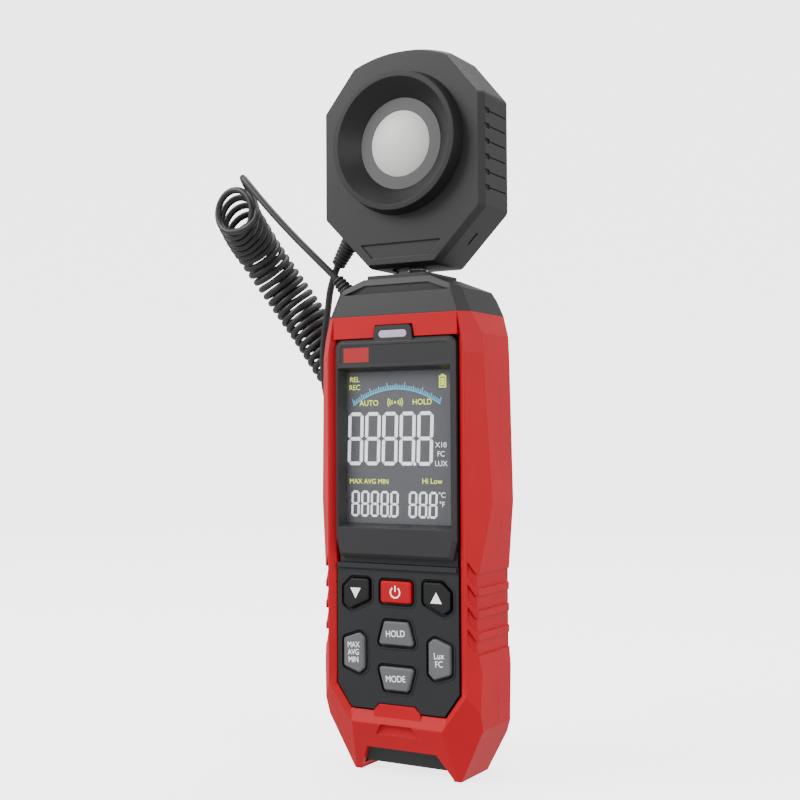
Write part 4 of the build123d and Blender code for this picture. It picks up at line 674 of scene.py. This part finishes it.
def along(points, share):
    """Point at a share of a line's length."""
    lengths = [0.0]
    for first, second in zip(points, points[1:]):
        lengths.append(lengths[-1] + (second - first).length)
    wanted = share * lengths[-1]
    index = 1
    while index < len(lengths) - 1 and lengths[index] < wanted:
        index += 1
    part = (wanted - lengths[index - 1]) / (lengths[index] - lengths[index - 1])
    return points[index - 1].lerp(points[index], part)


def helix_points():
    """Control points of the coil's turns, wound round its centre line."""
    centre_line = line_points(COIL_ROUTE)
    count = COIL_TURNS * POINTS_PER_TURN
    start = Vector(RUN_ROUTE[-1])
    side = None
    wound = []
    for index in range(count + 1):
        share = index / count
        share += EVENING * math.sin(2 * math.pi * share)
        centre = along(centre_line, share)
        before = along(centre_line, max(0.0, share - LEAN_SPAN))
        after = along(centre_line, min(1.0, share + LEAN_SPAN))
        direction = (after - before).normalized()
        settled = min(1.0, index / (SETTLING_TURNS * POINTS_PER_TURN))
        normal = (-FIRST_RING_NORMAL).lerp(direction, settled).normalized()
        if side is None:
            side = start - centre
        side = (side - side.dot(normal) * normal).normalized()
        other = normal.cross(side)
        angle = 2 * math.pi * index / POINTS_PER_TURN
        radius = MOUTH_RADIUS + (RING_RADIUS - MOUTH_RADIUS) * settled
        wound.append(centre + radius * (math.cos(angle) * side + math.sin(angle) * other))
    return wound


coil_points = [Vector(point) for point in RUN_ROUTE[:-1]] + helix_points()
cord_coil = nurbs_curve("curly_cord", coil_points, WIRE_RADIUS)
cord_coil.data.materials.append(RUBBER)
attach(cord_coil, "case")
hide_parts("cord_run", "cord_coil")


def tube_mesh(name, points, radius, sides=16):
    """Round mesh tube along points in mm, with closed ends."""
    shape = bmesh.new()
    rings = []
    side = None
    for index, point in enumerate(points):
        before = points[max(index - 1, 0)]
        after = points[min(index + 1, len(points) - 1)]
        direction = (after - before).normalized()
        if side is None:
            side = direction.orthogonal()
        side = (side - side.dot(direction) * direction).normalized()
        other = direction.cross(side)
        ring = []
        for step in range(sides):
            angle = 2 * math.pi * step / sides
            spot = point + radius * (math.cos(angle) * side + math.sin(angle) * other)
            ring.append(shape.verts.new(spot * MM))
        rings.append(ring)
    for first, second in zip(rings, rings[1:]):
        for step in range(sides):
            following = (step + 1) % sides
            shape.faces.new([first[step], first[following], second[following], second[step]])
    shape.faces.new(list(reversed(rings[0])))
    shape.faces.new(rings[-1])
    for face in shape.faces:
        face.smooth = True
    mesh = bpy.data.meshes.new(name)
    shape.to_mesh(mesh)
    shape.free()
    mesh.materials.append(RUBBER)
    piece = bpy.data.objects.new(name, mesh)
    bpy.context.scene.collection.objects.link(piece)
    return piece


run_and_coil = line_points(coil_points, COIL_RESOLUTION)

# The tail is two tubes that meet end to end.
tail_line = line_points(TAIL_ROUTE, TAIL_RESOLUTION)
JOIN_SHARE = 0.42
join_index = round(JOIN_SHARE * (len(tail_line) - 1))
upper_line = tail_line[: join_index + 1]
lower_line = tail_line[join_index:]
tail_upper = tube_mesh("cord_tail_upper", upper_line, WIRE_RADIUS)
tail_lower = tube_mesh("cord_tail_lower", lower_line, WIRE_RADIUS)
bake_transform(tail_upper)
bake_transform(tail_lower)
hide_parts("cord_tail")

# ---------------------------------------------------------------- floor, lights and camera
FLOOR_RADIUS = 1.3
BOWL_RADIUS = 1.2
BOWL_STEPS = 24
WALL_HEIGHT = 3.2
FLOOR_SIDES = 96
FLOOR_GLOW = 3.2
WORLD_STRENGTH = 0.85


def stage_bowl():
    """Pale round floor whose rim curves up, so that no horizon shows from any side."""
    profile = [(0.02, 0.0), (FLOOR_RADIUS, 0.0)]
    for step in range(1, BOWL_STEPS + 1):
        angle = math.radians(90 * step / BOWL_STEPS)
        rise = BOWL_RADIUS * (1 - math.cos(angle))
        profile.append((FLOOR_RADIUS + BOWL_RADIUS * math.sin(angle), rise))
    profile.append((FLOOR_RADIUS + BOWL_RADIUS, WALL_HEIGHT))
    shape = bmesh.new()
    rings = []
    for radius, height in profile:
        ring = []
        for side in range(FLOOR_SIDES):
            angle = 2 * math.pi * side / FLOOR_SIDES
            ring.append(shape.verts.new((radius * math.cos(angle), radius * math.sin(angle), height)))
        rings.append(ring)
    shape.faces.new(rings[0])
    for inner, outer in zip(rings, rings[1:]):
        for side in range(FLOOR_SIDES):
            following = (side + 1) % FLOOR_SIDES
            shape.faces.new([inner[side], outer[side], outer[following], inner[following]])
    for face in shape.faces:
        face.smooth = True
    mesh = bpy.data.meshes.new("floor")
    shape.to_mesh(mesh)
    shape.free()
    bowl = bpy.data.objects.new("floor", mesh)
    bpy.context.scene.collection.objects.link(bowl)
    return bowl


floor = stage_bowl()
floor.data.materials.append(printed("pale_floor", (0.90, 0.90, 0.90), FLOOR_GLOW))
floor.visible_glossy = False
floor.visible_diffuse = False


def area_light(name, place, target, size, power):
    """Soft square light aimed at a point."""
    data = bpy.data.lights.new(name, "AREA")
    data.shape = "SQUARE"
    data.size = size
    data.energy = power
    light = bpy.data.objects.new(name, data)
    light.location = place
    light.rotation_euler = (Vector(target) - Vector(place)).to_track_quat("-Z", "Y").to_euler()
    bpy.context.scene.collection.objects.link(light)


middle = (0.0, 0.0, 0.12)
area_light("key_light", (-0.75, -0.75, 0.85), middle, 0.7, 15.0)
area_light("side_light", (0.95, -0.35, 0.45), middle, 0.6, 4.5)
area_light("top_light", (0.0, 0.25, 1.1), middle, 0.9, 8.0)

world = bpy.data.worlds.new("studio")
world.use_nodes = True
world.node_tree.nodes["Background"].inputs["Color"].default_value = (1.0, 1.0, 1.0, 1.0)
world.node_tree.nodes["Background"].inputs["Strength"].default_value = WORLD_STRENGTH
bpy.context.scene.world = world

CAMERA_PLACE = Vector((216.41, -382.05, 113.79)) * MM
CAMERA_HEADING = 30.242  # degrees, to the left of straight at the object's front
CAMERA_TILT = 1.592  # degrees upwards
CAMERA_ROLL = -0.339  # degrees
camera_data = bpy.data.cameras.new("camera")
camera_data.lens = 57.55
camera_data.sensor_width = 36.0
camera_data.clip_start = 0.01
camera = bpy.data.objects.new("camera", camera_data)
heading = Matrix.Rotation(math.radians(CAMERA_HEADING), 4, "Z")
tilt = Matrix.Rotation(math.radians(90 + CAMERA_TILT), 4, "X")
roll = Matrix.Rotation(math.radians(CAMERA_ROLL), 4, "Z")
camera.matrix_world = Matrix.Translation(CAMERA_PLACE) @ heading @ tilt @ roll
bpy.context.scene.collection.objects.link(camera)
bpy.context.scene.camera = camera
